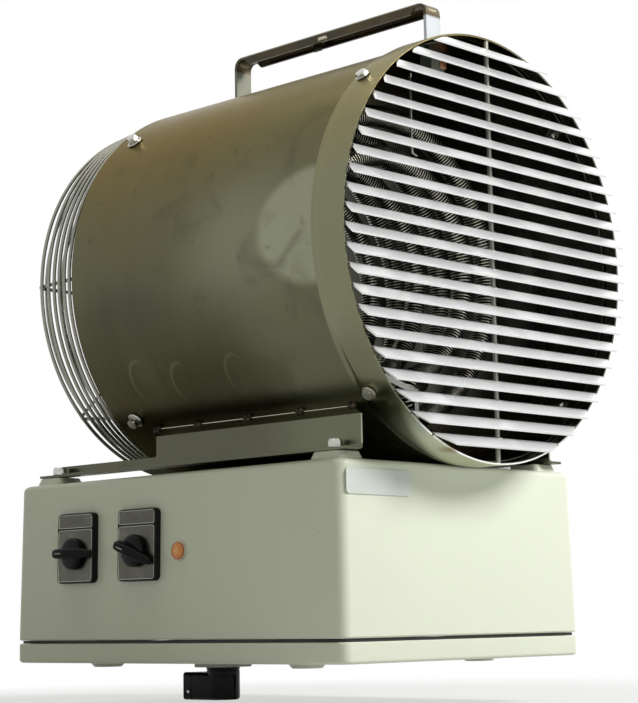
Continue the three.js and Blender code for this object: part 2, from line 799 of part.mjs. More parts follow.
function carryHandle() {
  const half = handleSheet / 2;
  const base = axisZ + drumRadius - 6;
  const top = axisZ + drumRadius + handleRise;
  const [y0, y1] = [handleFront - half, handleRear + half];
  const arc = (cy, cz, radius, from) => Array.from({ length: 5 }, (_, k) => {
    const angle = from - k * Math.PI / 8;
    return [cy + radius * Math.cos(angle), cz + radius * Math.sin(angle)];
  });
  const bend = handleCorner - handleSheet;
  const centre = top - handleCorner;
  const outline = [
    [y0, base],
    ...arc(y0 + handleCorner, centre, handleCorner, Math.PI),
    ...arc(y1 - handleCorner, centre, handleCorner, Math.PI / 2),
    [y1, base], [y1 - handleSheet, base],
    ...arc(y1 - handleCorner, centre, bend, Math.PI / 2).map(([y, z]) => [y, z]).reverse(),
    ...arc(y0 + handleCorner, centre, bend, Math.PI).reverse(),
    [y0 + handleSheet, base],
  ];
  const strap = prism(outline, -handleWidth / 2, handleWidth / 2, alongX);
  const fold = [
    [y0 + gripNotch, top - 1], [y1 - gripNotch, top - 1],
    [y1 - gripNotch, top - gripFold + 4], [y1 - gripNotch - 4, top - gripFold],
    [y0 + gripNotch + 4, top - gripFold], [y0 + gripNotch, top - gripFold + 4],
  ];
  const folds = [-1, 1].map((side) => {
    const [x0, x1] = [side * handleWidth / 2, side * (handleWidth / 2 - gripSheet)].sort((p, q) => p - q);
    return prism(fold, x0, x1, alongX);
  });
  const tab = block([-0.8, handleTabY - handleTab / 2, top - handleSheet - handleTab],
    [0.8, handleTabY + handleTab / 2, top - handleSheet + 1]);
  const drum = atAxis(solid(turned([
    [0, drumFront], [drumRadius + seat, drumFront], [drumRadius + seat, drumRear], [0, drumRear],
  ], drumSides)));
  return cut(join(strap, ...folds, tab), drum);
}
add('carry_handle', carryHandle(), stainless);

// ---- fan ----

const plateRear = guardBack - wireRadius - seat;
const plateFront = plateRear - plateSheet;
const motorRear = plateFront - seat;
const motorFront = motorRear - motorLength;
const shaftFit = 20;

const about = (profile, sides) => atAxis(ringOf(profile, sides));
const core = (profile, sides) => atAxis(solid(turned(profile, sides)));

add('motor_plate', core([
  [0, plateFront], [plateRadius - 6, plateFront], [plateRadius, plateFront + 1.5], [plateRadius, plateRear],
  [0, plateRear],
], 24), rail);

add('fan_motor', cut(core([
  [0, motorFront], [20, motorFront], [22, motorFront + 5], [motorRadius - 5, motorFront + 7],
  [motorRadius, motorFront + 12], [motorRadius, motorRear - 8], [motorRadius - 7, motorRear - 4],
  [motorRadius - 7, motorRear], [0, motorRear],
], 24), core([
  [0, motorFront - 1], [shaftRadius + seat, motorFront - 1], [shaftRadius + seat, motorFront + shaftFit],
  [0, motorFront + shaftFit],
], 12)), { color: 0x3a3d3c, roughness: 0.55, metalness: 0.6 });

const shaftFront = hubFront - shaftNutHeight - 3;
add('motor_shaft', core([
  [0, shaftFront], [shaftRadius - 1, shaftFront], [shaftRadius, shaftFront + 1],
  [shaftRadius, motorFront + shaftFit - seat], [0, motorFront + shaftFit - seat],
], 12), brightSteel);

// One blade: sections on cylinders about the axis, turned less steeply towards the tip.
function fanBlade(turn) {
  const spans = [0, 0.34, 0.68, 1];
  const rings = spans.map((span) => {
    const radius = THREE.MathUtils.lerp(hubRadius - 1.5, bladeTipRadius, span);
    const chord = THREE.MathUtils.lerp(46, 82, span);
    const pitch = THREE.MathUtils.degToRad(THREE.MathUtils.lerp(44, 25, span));
    const thick = THREE.MathUtils.lerp(3, 1.8, span);
    const stations = [-0.5, -0.18, 0.18, 0.5];
    const side = (face) => stations.map((t) => {
      const camber = chord * 0.08 * (1 - 4 * t * t) + face * thick * (Math.abs(t) < 0.3 ? 0.5 : 0.2);
      const around = chord * t * Math.cos(pitch) - camber * Math.sin(pitch);
      const along = chord * t * Math.sin(pitch) + camber * Math.cos(pitch);
      const angle = turn + around / radius + span * 0.25;
      return new Vector3(radius * Math.cos(angle), fanMiddle + along, radius * Math.sin(angle));
    });
    return [...side(1), ...side(-1).reverse()];
  });
  return loft(rings);
}
add('fan_impeller', join(
  about([
    [shaftRadius + seat, hubFront], [hubRadius - 6, hubFront], [hubRadius - 1, hubFront + 4],
    [hubRadius, hubFront + 10], [hubRadius, hubRear], [hubRadius - hubWall, hubRear],
    [hubRadius - hubWall, hubFront + 6], [14, hubFront + 6], [14, hubRear - 8],
    [shaftRadius + seat, hubRear - 8],
  ], 24),
  ...Array.from({ length: fanBlades }, (_, k) => (
    atAxis(cut(fanBlade(k * 2 * Math.PI / fanBlades - fanRest), solid(turned([
      [0, hubFront - 9], [hubRadius - hubWall / 2, hubFront - 9], [hubRadius - hubWall / 2, hubRear + 20],
      [0, hubRear + 20],
    ], 24))))
  )),
), { color: 0xc4c6c3, roughness: 0.4, metalness: 0.9 });

const shaftNutRear = hubFront - seat;
add('shaft_nut', cut(
  prism(hexagon(shaftNutFlats), shaftNutRear - shaftNutHeight, shaftNutRear,
    (u, v, w) => new Vector3(u, w, axisZ + v)),
  core([
    [0, hubFront - 20], [shaftRadius + seat, hubFront - 20],
    [shaftRadius + seat, hubFront + 5], [0, hubFront + 5],
  ], 12),
), brightSteel);

// ---- heating elements ----

// The bent sheath's centre line in [x, height over the drum's axis], with its direction and radius.
function elementPath() {
  const path = [];
  const step = (x, z, dx, dz, radius) => path.push({ x, z, dx, dz, radius });
  const bottom = carrierTop - carrierSheet - legReach - axisZ;
  const bareTop = -outerLoop - elementBend - 4;
  // An arc about [cx, cz]; way is 1 when it runs from +X towards +Z.
  const arc = (cx, cz, radius, from, to, skip = 0) => {
    const way = Math.sign(to - from);
    const steps = Math.max(3, Math.ceil(Math.abs(to - from) / (radius > elementBend ? 0.3 : 0.62)));
    for (let i = skip; i <= steps; i += 1) {
      const angle = from + (to - from) * i / steps;
      step(cx + radius * Math.cos(angle), cz + radius * Math.sin(angle),
        -way * Math.sin(angle), way * Math.cos(angle), finRadius);
    }
  };
  const bendOne = [outerLegX - elementBend, 0];
  bendOne[1] = -Math.sqrt((outerLoop + elementBend) ** 2 - bendOne[0] ** 2);
  const bendTwo = [innerLegX - elementBend, 0];
  bendTwo[1] = -Math.sqrt((innerLoop + elementBend) ** 2 - bendTwo[0] ** 2);
  const outerStart = Math.atan2(bendOne[1], bendOne[0]);
  const innerEnd = Math.atan2(bendTwo[1], bendTwo[0]) + 2 * Math.PI;
  const full = 2 * Math.PI;

  step(outerLegX, bottom, 0, 1, legRadius);
  step(outerLegX, bareTop, 0, 1, legRadius);
  step(outerLegX, bareTop, 0, 1, finRadius);
  arc(...bendOne, elementBend, 0, outerStart + Math.PI);
  arc(0, 0, outerLoop, outerStart + full, loopEnd, 1);
  const middle = (outerLoop + innerLoop) / 2;
  arc(middle * Math.cos(loopEnd), middle * Math.sin(loopEnd), (outerLoop - innerLoop) / 2,
    loopEnd, loopEnd - Math.PI, 1);
  arc(0, 0, innerLoop, loopEnd, innerEnd, 1);
  arc(...bendTwo, elementBend, innerEnd - Math.PI, 0, 1);
  step(innerLegX, bareTop, 0, -1, finRadius);
  step(innerLegX, bareTop, 0, -1, legRadius);
  step(innerLegX, bottom, 0, -1, legRadius);
  return path;
}

function heatingElement(y) {
  return loft(elementPath().map(({ x, z, dx, dz, radius }) => (
    Array.from({ length: elementSides }, (_, k) => {
      const angle = (k + 0.5) * 2 * Math.PI / elementSides;
      const out = radius * Math.cos(angle);
      return new Vector3(x + dz * out, y + radius * Math.sin(angle), axisZ + z - dx * out);
    })
  )));
}
elementYs.forEach((y, k) => add(`heating_element_${k + 1}`, heatingElement(y), sheath));

add('element_carrier', cut(
  block([legWindow.low[0] - 8, legWindow.low[1] - 8, carrierTop - carrierSheet],
    [legWindow.high[0] + 8, legWindow.high[1] + 8, carrierTop]),
  ...legPlaces.map(([x, y]) => post(x, y, carrierTop - 9, carrierTop + 9, legRadius + seat)),
), { color: 0xd8d2c2, roughness: 0.7, metalness: 0 });

// ---- stay, thermal cut-out and its probe ----

function elementStay() {
  const y1 = elementYs[0] - finRadius - seat;
  const y0 = y1 - staySheet;
  const foot = flatIn(drumInner) - seat;
  const [left, right] = stayX;
  const drop = -Math.sqrt(foot * foot - (right + stayWidth) ** 2);
  const outline = [
    [left, -86], [right + stayWidth, -104], [right + stayWidth, drop + staySheet],
    [right + stayWidth, drop], [right, drop], [right, -108], [left - 1, -86 - stayWidth],
  ];
  const strip = prism(outline, y0, y1, (u, v, w) => new Vector3(u, w, axisZ + v));
  const toe = prism([
    [right, drop], [right + stayWidth, drop],
    [right + stayWidth, drop + staySheet], [right, drop + staySheet],
  ], y0 - 12, y1, (u, v, w) => new Vector3(u, w, axisZ + v));
  return join(strip, toe);
}
add('element_stay', elementStay(), brightSteel);

const [cutX, cutY, cutZ] = cutoutSize;
const cutoutTop = axisZ + Math.sqrt((flatIn(drumInner) - seat) ** 2 - (Math.abs(cutoutX) + cutX / 2) ** 2);
add('thermal_cutout', join(
  block(
    [cutoutX - cutX / 2, cutoutY - cutY / 2, cutoutTop - cutZ],
    [cutoutX + cutX / 2, cutoutY + cutY / 2, cutoutTop],
  ),
  block(
    [cutoutX + cutX / 2 - 1, cutoutY - 3, cutoutTop - cutZ + 2],
    [cutoutX + cutX / 2 + 6, cutoutY + 3, cutoutTop - 8],
  ),
), { color: 0x8b937f, roughness: 0.5, metalness: 0.2 });

function cutoutProbe() {
  const top = cutoutTop - cutZ / 2;
  const start = cutoutY + cutY / 2 + seat;
  const points = [
    [cutoutX, start, top], [cutoutX, probeY - 4, top], [probeX, probeY - 1, top - 1.5],
    [probeX, probeY, top - 5], [probeX, probeY, top - probeLength + 6],
    [probeX + 1.5, probeY, top - probeLength + 2], [probeX + 6, probeY, top - probeLength],
  ].map(([x, y, z]) => new Vector3(x, y, z));
  const rings = points.map((p, i) => {
    const [before, after] = [points[Math.max(i - 1, 0)], points[Math.min(i + 1, points.length - 1)]];
    const along = new Vector3().subVectors(after, before);
    const turn = new THREE.Quaternion().setFromUnitVectors(new Vector3(0, 1, 0), along.normalize());
    return Array.from({ length: 6 }, (_, k) => {
      const angle = k * Math.PI / 3;
      const spoke = new Vector3(probeRadius * Math.cos(angle), 0, probeRadius * Math.sin(angle));
      return spoke.applyQuaternion(turn).add(p);
    });
  });
  return loft(rings);
}
add('cutout_probe', cutoutProbe(), brightSteel);

// ---- switch face: bezels, plates, knobs and pilot lamp ----

// On the face, x runs towards -Y, y up the face and z out of it.
const face = new THREE.Group();
face.position.set(-boxWidth / 2, 0, bodyBottom);
face.setRotationFromMatrix(new Matrix4().makeBasis(
  new Vector3(0, -1, 0),
  new Vector3(Math.sin(draft), 0, Math.cos(draft)),
  new Vector3(-Math.cos(draft), 0, Math.sin(draft)),
));
heater.add(face);

function roundedPlate(width, height, corner, z0, z1, cx = 0, cy = 0, steps = 3) {
  return loft([z0, z1].map((z) => roundedRing(width, height, corner, z, steps)
    .map((p) => p.add(new Vector3(cx, cy, 0)))));
}
const disc = (radius, z0, z1, sides = 16) => (
  bar(new Vector3(0, 0, z0), new Vector3(0, 0, z1), radius, sides)
);

const recess = plateDepth + seat + 0.6;
const bezelTop = seat + bezelDepth;
function switchBezel() {
  const rim = roundedRing(bezelWidth - 2, bezelHeight - 2, bezelCorner - 1, bezelTop, 3);
  const shell = loft([
    roundedRing(bezelWidth, bezelHeight, bezelCorner, seat, 3),
    roundedRing(bezelWidth, bezelHeight, bezelCorner, bezelTop - 1, 3),
    rim,
  ]);
  const pocket = roundedPlate(
    plateWidth + 2 * seat, bezelHeight - 3 + 2 * seat, 2, bezelTop - recess, bezelTop + 1,
  );
  const neck = disc(neckRadius, -boxWall - 6, bezelTop - recess - 1).translate([0, -knobDrop, 0]);
  const bore = disc(knobStem + 1, -boxWall - 7, bezelTop + 1).translate([0, -knobDrop, 0]);
  return cut(join(cut(shell, pocket), neck), bore);
}
function switchPlate() {
  const z0 = bezelTop - recess + seat;
  const height = bezelHeight - 3;
  const sheet = roundedPlate(plateWidth, height, 1.5, z0, z0 + plateDepth, 0, 0, 2);
  const groove = height / 2 - legendHeight;
  return cut(
    sheet,
    block([-plateWidth, groove - plateGroove, z0 + plateDepth / 2], [plateWidth, groove, z0 + 2]),
    disc(knobStem + 1, z0 - 1, z0 + 2).translate([0, -knobDrop, 0]),
  );
}
function switchKnob() {
  const z0 = bezelTop - recess + plateDepth + 2 * seat;
  const skirt = solid(turnedZ([
    [0, z0], [knobRadius, z0], [knobRadius, z0 + knobBase - 2],
    [knobRadius - 2, z0 + knobBase], [0, z0 + knobBase],
  ], 24));
  const section = ([v, width, low, high]) => {
    const [half, edge] = [width / 2, 0.3 * Math.min(width, high - low)];
    return [
      [half - edge, low], [half, low + edge], [half, high - edge], [half - edge, high],
      [edge - half, high], [-half, high - edge], [-half, low + edge], [edge - half, low],
    ].map(([x, z]) => new Vector3(x, v, z0 + z));
  };
  const middle = (knobReach + knobTip) / 2 + 2;
  const grip = loft([
    [-knobLong, 0.35 * knobBarWidth, 2.5, knobTip - 0.8],
    [-0.8 * knobLong, 0.7 * knobBarWidth, 2.5, knobTip + 1.5],
    [-0.4 * knobLong, knobBarWidth, 2.5, middle - 1.5],
    [0, knobBarWidth, 2.5, middle + 1.5],
    [0.65 * knobShort, knobBarWidth, 2.5, knobReach],
    [knobShort - 1, 0.85 * knobBarWidth, 3, knobReach - 0.3],
    [knobShort, 0.6 * knobBarWidth, 4, knobReach - 2],
  ].map(section));
  const stem = disc(knobStem, -boxWall - 6, z0 + 1, 12);
  return join(skirt, grip, stem);
}
function contactBlock() {
  const z1 = -boxWall - 6 - seat;
  return join(
    roundedPlate(blockSize, blockSize, 2, z1 - blockDepth, z1, 0, 0, 1),
    roundedPlate(blockSize - 12, blockSize + 10, 2, z1 - blockDepth + 8, z1 - 8, 0, 0, 1),
  );
}
switchYs.forEach((y, k) => {
  const place = new THREE.Group();
  place.position.set(-y, faceHeight, 0);
  face.add(place);
  add(`switch_bezel_${k + 1}`, switchBezel(), blackPlastic, place);
  add(`switch_plate_${k + 1}`, switchPlate(), { color: 0xb4b8b8, roughness: 0.35, metalness: 0.9 }, place);
  const turning = new THREE.Group();
  turning.position.set(0, -knobDrop, 0);
  turning.rotation.z = THREE.MathUtils.degToRad(knobTurns[k]);
  place.add(turning);
  add(`switch_knob_${k + 1}`, switchKnob(), blackPlastic, turning);
  const behind = new THREE.Group();
  behind.position.set(0, -knobDrop, 0);
  place.add(behind);
  add(`contact_block_${k + 1}`, contactBlock(), greyPlastic, behind);
});

const lamp = new THREE.Group();
lamp.position.set(-lampY, lampHeight, 0);
face.add(lamp);
const lensFoot = seat + lampFoot;
add('lamp_holder', solid(turnedZ([
  [0, lensFoot], [lampRadius + 0.6 * lampRim, lensFoot], [lampRadius + lampRim, seat], [lampNeck, seat],
  [lampNeck, -lampBody], [0, -lampBody],
], 16)), brightSteel, lamp);
add('lamp_lens', solid(turnedZ([
  [0, lensFoot + seat], [lampRadius, lensFoot + seat], [lampRadius, lensFoot + 0.9],
  [lampRadius * 0.8, lensFoot + 0.8 * lampDome], [lampRadius * 0.42, lensFoot + lampDome],
  [0, lensFoot + lampDome + 0.3],
], 16)), { color: 0xe8641e, roughness: 0.25, metalness: 0, transparent: true, opacity: 0.9 }, lamp);

// ---- label plate on the front face ----

const front = new THREE.Group();
front.position.set(0, -boxLength / 2, bodyBottom);
front.setRotationFromMatrix(new Matrix4().makeBasis(
  new Vector3(1, 0, 0),
  new Vector3(0, Math.sin(draft), Math.cos(draft)),
  new Vector3(0, -Math.cos(draft), Math.sin(draft)),
));
heater.add(front);
add('label_plate', roundedPlate(labelWidth, labelHeight, 1, seat, seat + labelSheet, labelX, labelRise, 1),
  { color: 0xf2f3ee, roughness: 0.4, metalness: 0 }, front);

// ---- power inlet ----

const inletTop = footHeight - inletPadHeight - seat;
const inletBodyTop = inletTop - inletNeckDrop;
const inletBottom = inletBodyTop - inletHeight;
const inletFront = inletY - inletNeck;
const inletMiddle = (inletBodyTop + inletBottom) / 2;
function inletHousing() {
  const half = inletWidth / 2;
  const [z0, z1] = [inletBottom, inletBodyTop];
  const outline = [
    [-half, z1], [-half, z0 + inletCorner], [-half + 0.3 * inletCorner, z0 + 0.3 * inletCorner],
    [-half + inletCorner, z0], [half - inletCorner, z0], [half - 0.3 * inletCorner, z0 + 0.3 * inletCorner],
    [half, z0 + inletCorner], [half, z1],
  ];
  const elbow = prism(outline, inletFront, inletFront + inletLength, alongY);
  const turn = turnedZ([
    [0, z0 - 0.5], [inletNeck - 3.5, z0 - 0.5], [inletNeck - 1, z0 + 1], [inletNeck, z0 + 3.5],
    [inletNeck, z1 + 2], [0, z1 + 2],
  ], 20).translate(0, inletY, 0);
  const heel = cut(
    block([-half - 1, inletFront - 1, z0 - 1], [half + 1, inletY, z1 + 1]),
    solid(turn),
  );
  const neck = post(0, inletY, z1 - 2, inletTop, inletNeck, 20);
  const sleeve = post(0, inletY, inletTop - 1, footHeight + lidFloor + 6, inletBore, 16);
  const mouth = prism([
    [-half + inletWall, z0 + inletWall], [half - inletWall, z0 + inletWall],
    [half - inletWall, z1 - inletWall], [-half + inletWall, z1 - inletWall],
  ], inletFront + inletLength - inletDepth, inletFront + inletLength + 1, alongY);
  return cut(join(cut(elbow, heel), neck, sleeve), mouth);
}
add('inlet_housing', inletHousing(), blackPlastic);

function inletInsert() {
  const back = inletFront + inletLength - inletDepth + seat;
  const half = inletWidth / 2 - inletWall - seat;
  const tall = inletHeight / 2 - inletWall - seat;
  const base = block([-half, back, inletMiddle - tall], [half, back + 6, inletMiddle + tall]);
  const pins = Array.from({ length: 5 }, (_, k) => {
    const angle = k * 2 * Math.PI / 5 + Math.PI / 2;
    const [x, z] = [pinRing * Math.cos(angle), inletMiddle + pinRing * Math.sin(angle)];
    return bar(new Vector3(x, back + 5, z), new Vector3(x, back + 6 + pinLength, z), pinRadius, 8);
  });
  return join(base, ...pins);
}
add('inlet_insert', inletInsert(), { color: 0x55585a, roughness: 0.5, metalness: 0.2 });

// ---- control gear on the lid ----

const gearFloor = footHeight + lidFloor + seat;
add('gear_rail', prism([
  [-railBarWidth / 2, railBarHeight], [-railBarWidth / 2 + 5, railBarHeight],
  [-railBarWidth / 2 + 5, 1], [railBarWidth / 2 - 5, 1],
  [railBarWidth / 2 - 5, railBarHeight], [railBarWidth / 2, railBarHeight],
  [railBarWidth / 2, railBarHeight - 1], [railBarWidth / 2 - 4, railBarHeight - 1],
  [railBarWidth / 2 - 4, 0], [-railBarWidth / 2 + 4, 0],
  [-railBarWidth / 2 + 4, railBarHeight - 1], [-railBarWidth / 2, railBarHeight - 1],
].map(([y, z]) => [y - 20, gearFloor + z]), -railBarLength / 2, railBarLength / 2, alongX), brightSteel);

function onRail([depth, width, height], x) {
  const z0 = gearFloor + railBarHeight + seat;
  const y = -20;
  return join(
    block([x - width / 2, y - depth / 2, z0], [x + width / 2, y + depth / 2, z0 + height * 0.6]),
    block(
      [x - width / 2 + 1, y - depth / 2 + 12, z0 + height * 0.5],
      [x + width / 2 - 1, y + depth / 2 - 12, z0 + height],
    ),
  );
}
add('contactor', onRail(contactorSize, -30), blackPlastic);
add('terminal_block', onRail(terminalSize, 45), greyPlastic);

export default heater;
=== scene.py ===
"""Looks of a portable forced air heater: a stainless drum with louvres, a basket guard and finned
elements, on a painted control enclosure."""

import json
import math

import bpy
from bpy.props import FloatProperty, FloatVectorProperty, PointerProperty
from mathutils import Matrix, Vector

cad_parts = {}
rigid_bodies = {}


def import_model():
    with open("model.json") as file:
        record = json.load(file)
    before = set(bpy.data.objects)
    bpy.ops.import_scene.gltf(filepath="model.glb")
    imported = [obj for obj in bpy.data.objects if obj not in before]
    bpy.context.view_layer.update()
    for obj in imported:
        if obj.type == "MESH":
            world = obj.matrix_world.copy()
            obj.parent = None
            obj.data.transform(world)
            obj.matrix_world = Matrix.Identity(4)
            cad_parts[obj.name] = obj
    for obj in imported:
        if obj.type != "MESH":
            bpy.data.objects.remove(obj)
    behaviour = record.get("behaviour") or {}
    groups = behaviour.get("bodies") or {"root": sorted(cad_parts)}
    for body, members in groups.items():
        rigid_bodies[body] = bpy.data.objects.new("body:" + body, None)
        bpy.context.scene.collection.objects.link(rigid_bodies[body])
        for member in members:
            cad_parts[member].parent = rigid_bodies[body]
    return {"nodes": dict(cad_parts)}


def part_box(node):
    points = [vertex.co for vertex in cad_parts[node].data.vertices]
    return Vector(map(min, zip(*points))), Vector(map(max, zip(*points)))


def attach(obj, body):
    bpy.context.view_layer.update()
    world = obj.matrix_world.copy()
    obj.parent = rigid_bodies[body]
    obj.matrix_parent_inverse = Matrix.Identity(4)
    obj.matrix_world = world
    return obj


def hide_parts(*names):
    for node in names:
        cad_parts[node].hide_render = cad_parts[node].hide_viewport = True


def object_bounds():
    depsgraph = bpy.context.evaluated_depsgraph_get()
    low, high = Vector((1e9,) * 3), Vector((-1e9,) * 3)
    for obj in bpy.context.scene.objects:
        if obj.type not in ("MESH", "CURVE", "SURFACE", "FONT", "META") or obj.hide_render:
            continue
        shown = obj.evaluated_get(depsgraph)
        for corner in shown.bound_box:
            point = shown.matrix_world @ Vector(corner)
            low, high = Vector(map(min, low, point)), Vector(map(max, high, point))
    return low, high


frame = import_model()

bl_info = {
    "name": "Forced Air Heater",
    "version": (1, 0, 0),
    "blender": (4, 5, 0),
    "location": "View3D > Sidebar > Heater",
    "description": "Builds the detailed surfaces, materials and studio of a forced air heater",
    "category": "Add Mesh",
}

CAD_LOW, CAD_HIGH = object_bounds()
NODES = frame["nodes"]
TAU = 2 * math.pi
MM = 0.001


def corners(node):
    low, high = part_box(node)
    return Vector(low), Vector(high)


def middle(node):
    low, high = corners(node)
    return (low + high) / 2


DRUM_LOW, DRUM_HIGH = corners("barrel_casing")
COLLAR_LOW, COLLAR_HIGH = corners("outlet_collar")
BODY_LOW, BODY_HIGH = corners("enclosure_body")
LID_LOW, LID_HIGH = corners("enclosure_lid")
AXIS = (DRUM_LOW.z + DRUM_HIGH.z) / 2  # height of the drum's axis
DRUM_RADIUS = (DRUM_HIGH.z - DRUM_LOW.z) / 2
COLLAR_RADIUS = (COLLAR_HIGH.z - COLLAR_LOW.z) / 2
CORNER = 0.0095  # upright corners of the enclosure and its lid
DRAFT = math.radians(1)  # the enclosure's sides lean in by this much
GRIP_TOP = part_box("carry_handle")[1][2]
GUARD_BOLT_Y = 0.064
COLLAR_BOLT_Y = -0.209
FAN_Y = 0.056
DIAGONALS = [math.radians(angle) for angle in (45, 135, 225, 315)]


# ---- mesh building ----


def add_piece(name, mesh, finish, node=None, body="body"):
    """A mesh as a piece: its finish, its body and the CAD node that it stands for."""
    mesh.materials.clear()
    mesh.materials.append(MATERIALS[finish])
    piece = bpy.data.objects.new(name, mesh)
    bpy.context.scene.collection.objects.link(piece)
    if node:
        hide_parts(node)
    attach(piece, body)
    return piece


def mesh_piece(name, part, finish, node=None, body="body"):
    """A smooth piece with sharp edges, from a part's points and faces."""
    points, faces = part
    mesh = bpy.data.meshes.new(name)
    mesh.from_pydata([tuple(p) for p in points], [], faces)
    mesh.update()
    for polygon in mesh.polygons:
        polygon.use_smooth = True
    mesh.set_sharp_from_angle(angle=math.radians(35))
    return add_piece(name, mesh, finish, node, body)


def merge(*parts):
    """One list of points and faces from several."""
    points, faces = [], []
    for more_points, more_faces in parts:
        start = len(points)
        points.extend(more_points)
        faces.extend([tuple(start + i for i in face) for face in more_faces])
    return points, faces


def moved(part, matrix):
    points, faces = part
    return [matrix @ Vector(p) for p in points], faces


def shift(x, y, z):
    return Matrix.Translation((x, y, z))


def turned(angle, axis):
    return Matrix.Rotation(angle, 4, axis)


def quarter(steps):
    """Sines and cosines of the angles from 0 to 90 degrees."""
    angles = [i * math.pi / 2 / steps for i in range(steps + 1)]
    return [(math.sin(angle), math.cos(angle)) for angle in angles]


def about_axis(radius, y, angle):
    """A point at a radius from the drum's axis."""
    return Vector((radius * math.cos(angle), y, AXIS + radius * math.sin(angle)))


def loft(rings, closed=False, caps=True):
    """A skin through rings of equal length; closed joins the last ring to the first."""
    count = len(rings[0])
    points = [Vector(p) for ring in rings for p in ring]
    faces = []
    spans = len(rings) if closed else len(rings) - 1
    for i in range(spans):
        first, second = i * count, ((i + 1) % len(rings)) * count
        for j in range(count):
            k = (j + 1) % count
            faces.append((first + j, first + k, second + k, second + j))
    if caps and not closed:
        faces.append(tuple(reversed(range(count))))
        faces.append(tuple((len(rings) - 1) * count + j for j in range(count)))
    return points, faces


def outward(part):
    """The same part with its faces turned outward, by its volume's sign."""
    points, faces = part
    volume = 0.0
    for face in faces:
        a = points[face[0]]
        for i in range(1, len(face) - 1):
            volume += a.dot(points[face[i]].cross(points[face[i + 1]]))
    if volume < 0:
        faces = [tuple(reversed(face)) for face in faces]
    return points, faces


def skin(rings, closed=False):
    return outward(loft(rings, closed))


def revolve(profile, steps):
    """A body of revolution about the drum's axis, from a closed profile of (radius, y) pairs."""
    return skin([[about_axis(r, y, TAU * i / steps) for r, y in profile] for i in range(steps)], closed=True)


def spun(profile, steps, base=0.0):
    """A body of revolution about Z; its profile of (radius, z above base) pairs starts and ends on the axis."""
    profile = [(r, base + z) for r, z in profile]
    rings = [
        [Vector((r * math.cos(TAU * i / steps), r * math.sin(TAU * i / steps), z)) for i in range(steps)]
        for r, z in profile[1:-1]
    ]
    points, faces = loft(rings, caps=False)
    bottom, top = len(points), len(points) + 1
    points = points + [Vector((0, 0, profile[0][1])), Vector((0, 0, profile[-1][1]))]
    last = (len(rings) - 1) * steps
    for j in range(steps):
        k = (j + 1) % steps
        faces.append((bottom, k, j))
        faces.append((top, last + j, last + k))
    return outward((points, faces))


def sweep(path, radius, sides, closed=False, reference=Vector((0, 1, 0))):
    """A round bar along a path; radius is a number or one for each point."""
    count = len(path)
    rings = []
    for i, p in enumerate(path):
        before = path[(i - 1) % count] if closed or i else path[0]
        after = path[(i + 1) % count] if closed or i < count - 1 else path[-1]
        along = (after - before).normalized()
        side = reference.cross(along)
        if side.length < 1e-4:
            side = Vector((1, 0, 0)).cross(along)
        side.normalize()
        up = along.cross(side)
        r = radius[i] if isinstance(radius, (list, tuple)) else radius
        rings.append([
            p + side * (r * math.cos(TAU * k / sides)) + up * (r * math.sin(TAU * k / sides))
            for k in range(sides)
        ])
    return skin(rings, closed)


def rounded_rectangle(width, length, radius, z, steps, centre=(0, 0)):
    ring = []
    for k, (sx, sy) in enumerate([(1, 1), (-1, 1), (-1, -1), (1, -1)]):
        for i in range(steps + 1):
            angle = (k + i / steps) * math.pi / 2
            ring.append(Vector((
                centre[0] + sx * (width / 2 - radius) + radius * math.cos(angle),
                centre[1] + sy * (length / 2 - radius) + radius * math.sin(angle),
                z,
            )))
    return ring


def rounded_block(width, length, radius, z0, z1, edge, steps, centre=(0, 0), bottom_edge=0.0):
    """A block with round upright corners and a rolled upper edge."""

    def level(inset, z):
        return rounded_rectangle(width - 2 * inset, length - 2 * inset, max(radius - inset, 1e-4), z, steps, centre)

    if bottom_edge:
        rings = [level(bottom_edge * (1 - s), z0 + bottom_edge * (1 - c)) for s, c in quarter(4)]
    else:
        rings = [rounded_rectangle(width, length, radius, z0, steps, centre)]
    rings += [level(edge * (1 - c), z1 - edge * (1 - s)) for s, c in quarter(4)]
    return skin(rings)


def hexagon_head(flats, z0, z1, chamfer=0.12):
    """A hexagon head or nut with its corners turned off at the top."""
    reach = flats / math.sqrt(3)
    steps = 24
    rings = []
    for level in (0.0, 0.55, 0.8, 1.0):
        limit = reach * (1.02 if level < 0.6 else 1.0 - chamfer * (level - 0.55) / 0.45)
        ring = []
        for k in range(steps):
            angle = TAU * k / steps
            flat = flats / 2 / math.cos((angle % (math.pi / 3)) - math.pi / 6)
            radius = min(flat, limit)
            ring.append(Vector((radius * math.cos(angle), radius * math.sin(angle), z0 + (z1 - z0) * level)))
        rings.append(ring)
    return skin(rings)


def thread(bottom, point, top, steps=20):
    """A bolt's shank with a turned end of the given length."""
    return spun([(0, bottom), (0.0026, bottom), (0.0030, bottom + point), (0.0030, top), (0, top)], steps)


def radial(angle, y):
    """The place of a bolt through the drum's sheet: its own +Z looks away from the axis."""
    return shift(0, y, AXIS) @ turned(math.pi / 2 - angle, "Y")


def bead(start, end, width, bumps, seed):
    """A weld bead of overlapping ripples between two points."""
    path, radii = [], []
    steps = bumps * 6
    for i in range(steps + 1):
        t = i / steps
        path.append(start.lerp(end, t))
        ripple = 0.82 + 0.18 * abs(math.sin(math.pi * bumps * t + seed))
        ends = min(1.0, 6 * t + 0.25, 6 * (1 - t) + 0.25)
        radii.append(width / 2 * ripple * ends)
    return sweep(path, radii, 10, reference=Vector((0.13, 0.21, 0.97)))


# ---- shader nodes, and the groups that the finishes share ----


def feed(tree, socket, value):
    """Links an input, or sets it to a plain value."""
    if isinstance(value, bpy.types.NodeSocket):
        tree.links.new(value, socket)
    else:
        socket.default_value = value


def add_node(tree, kind, values=None, **settings):
    node = tree.nodes.new(kind)
    for key, value in settings.items():
        setattr(node, key, value)
    for key, value in (values or {}).items():
        feed(tree, node.inputs[key], value)
    return node


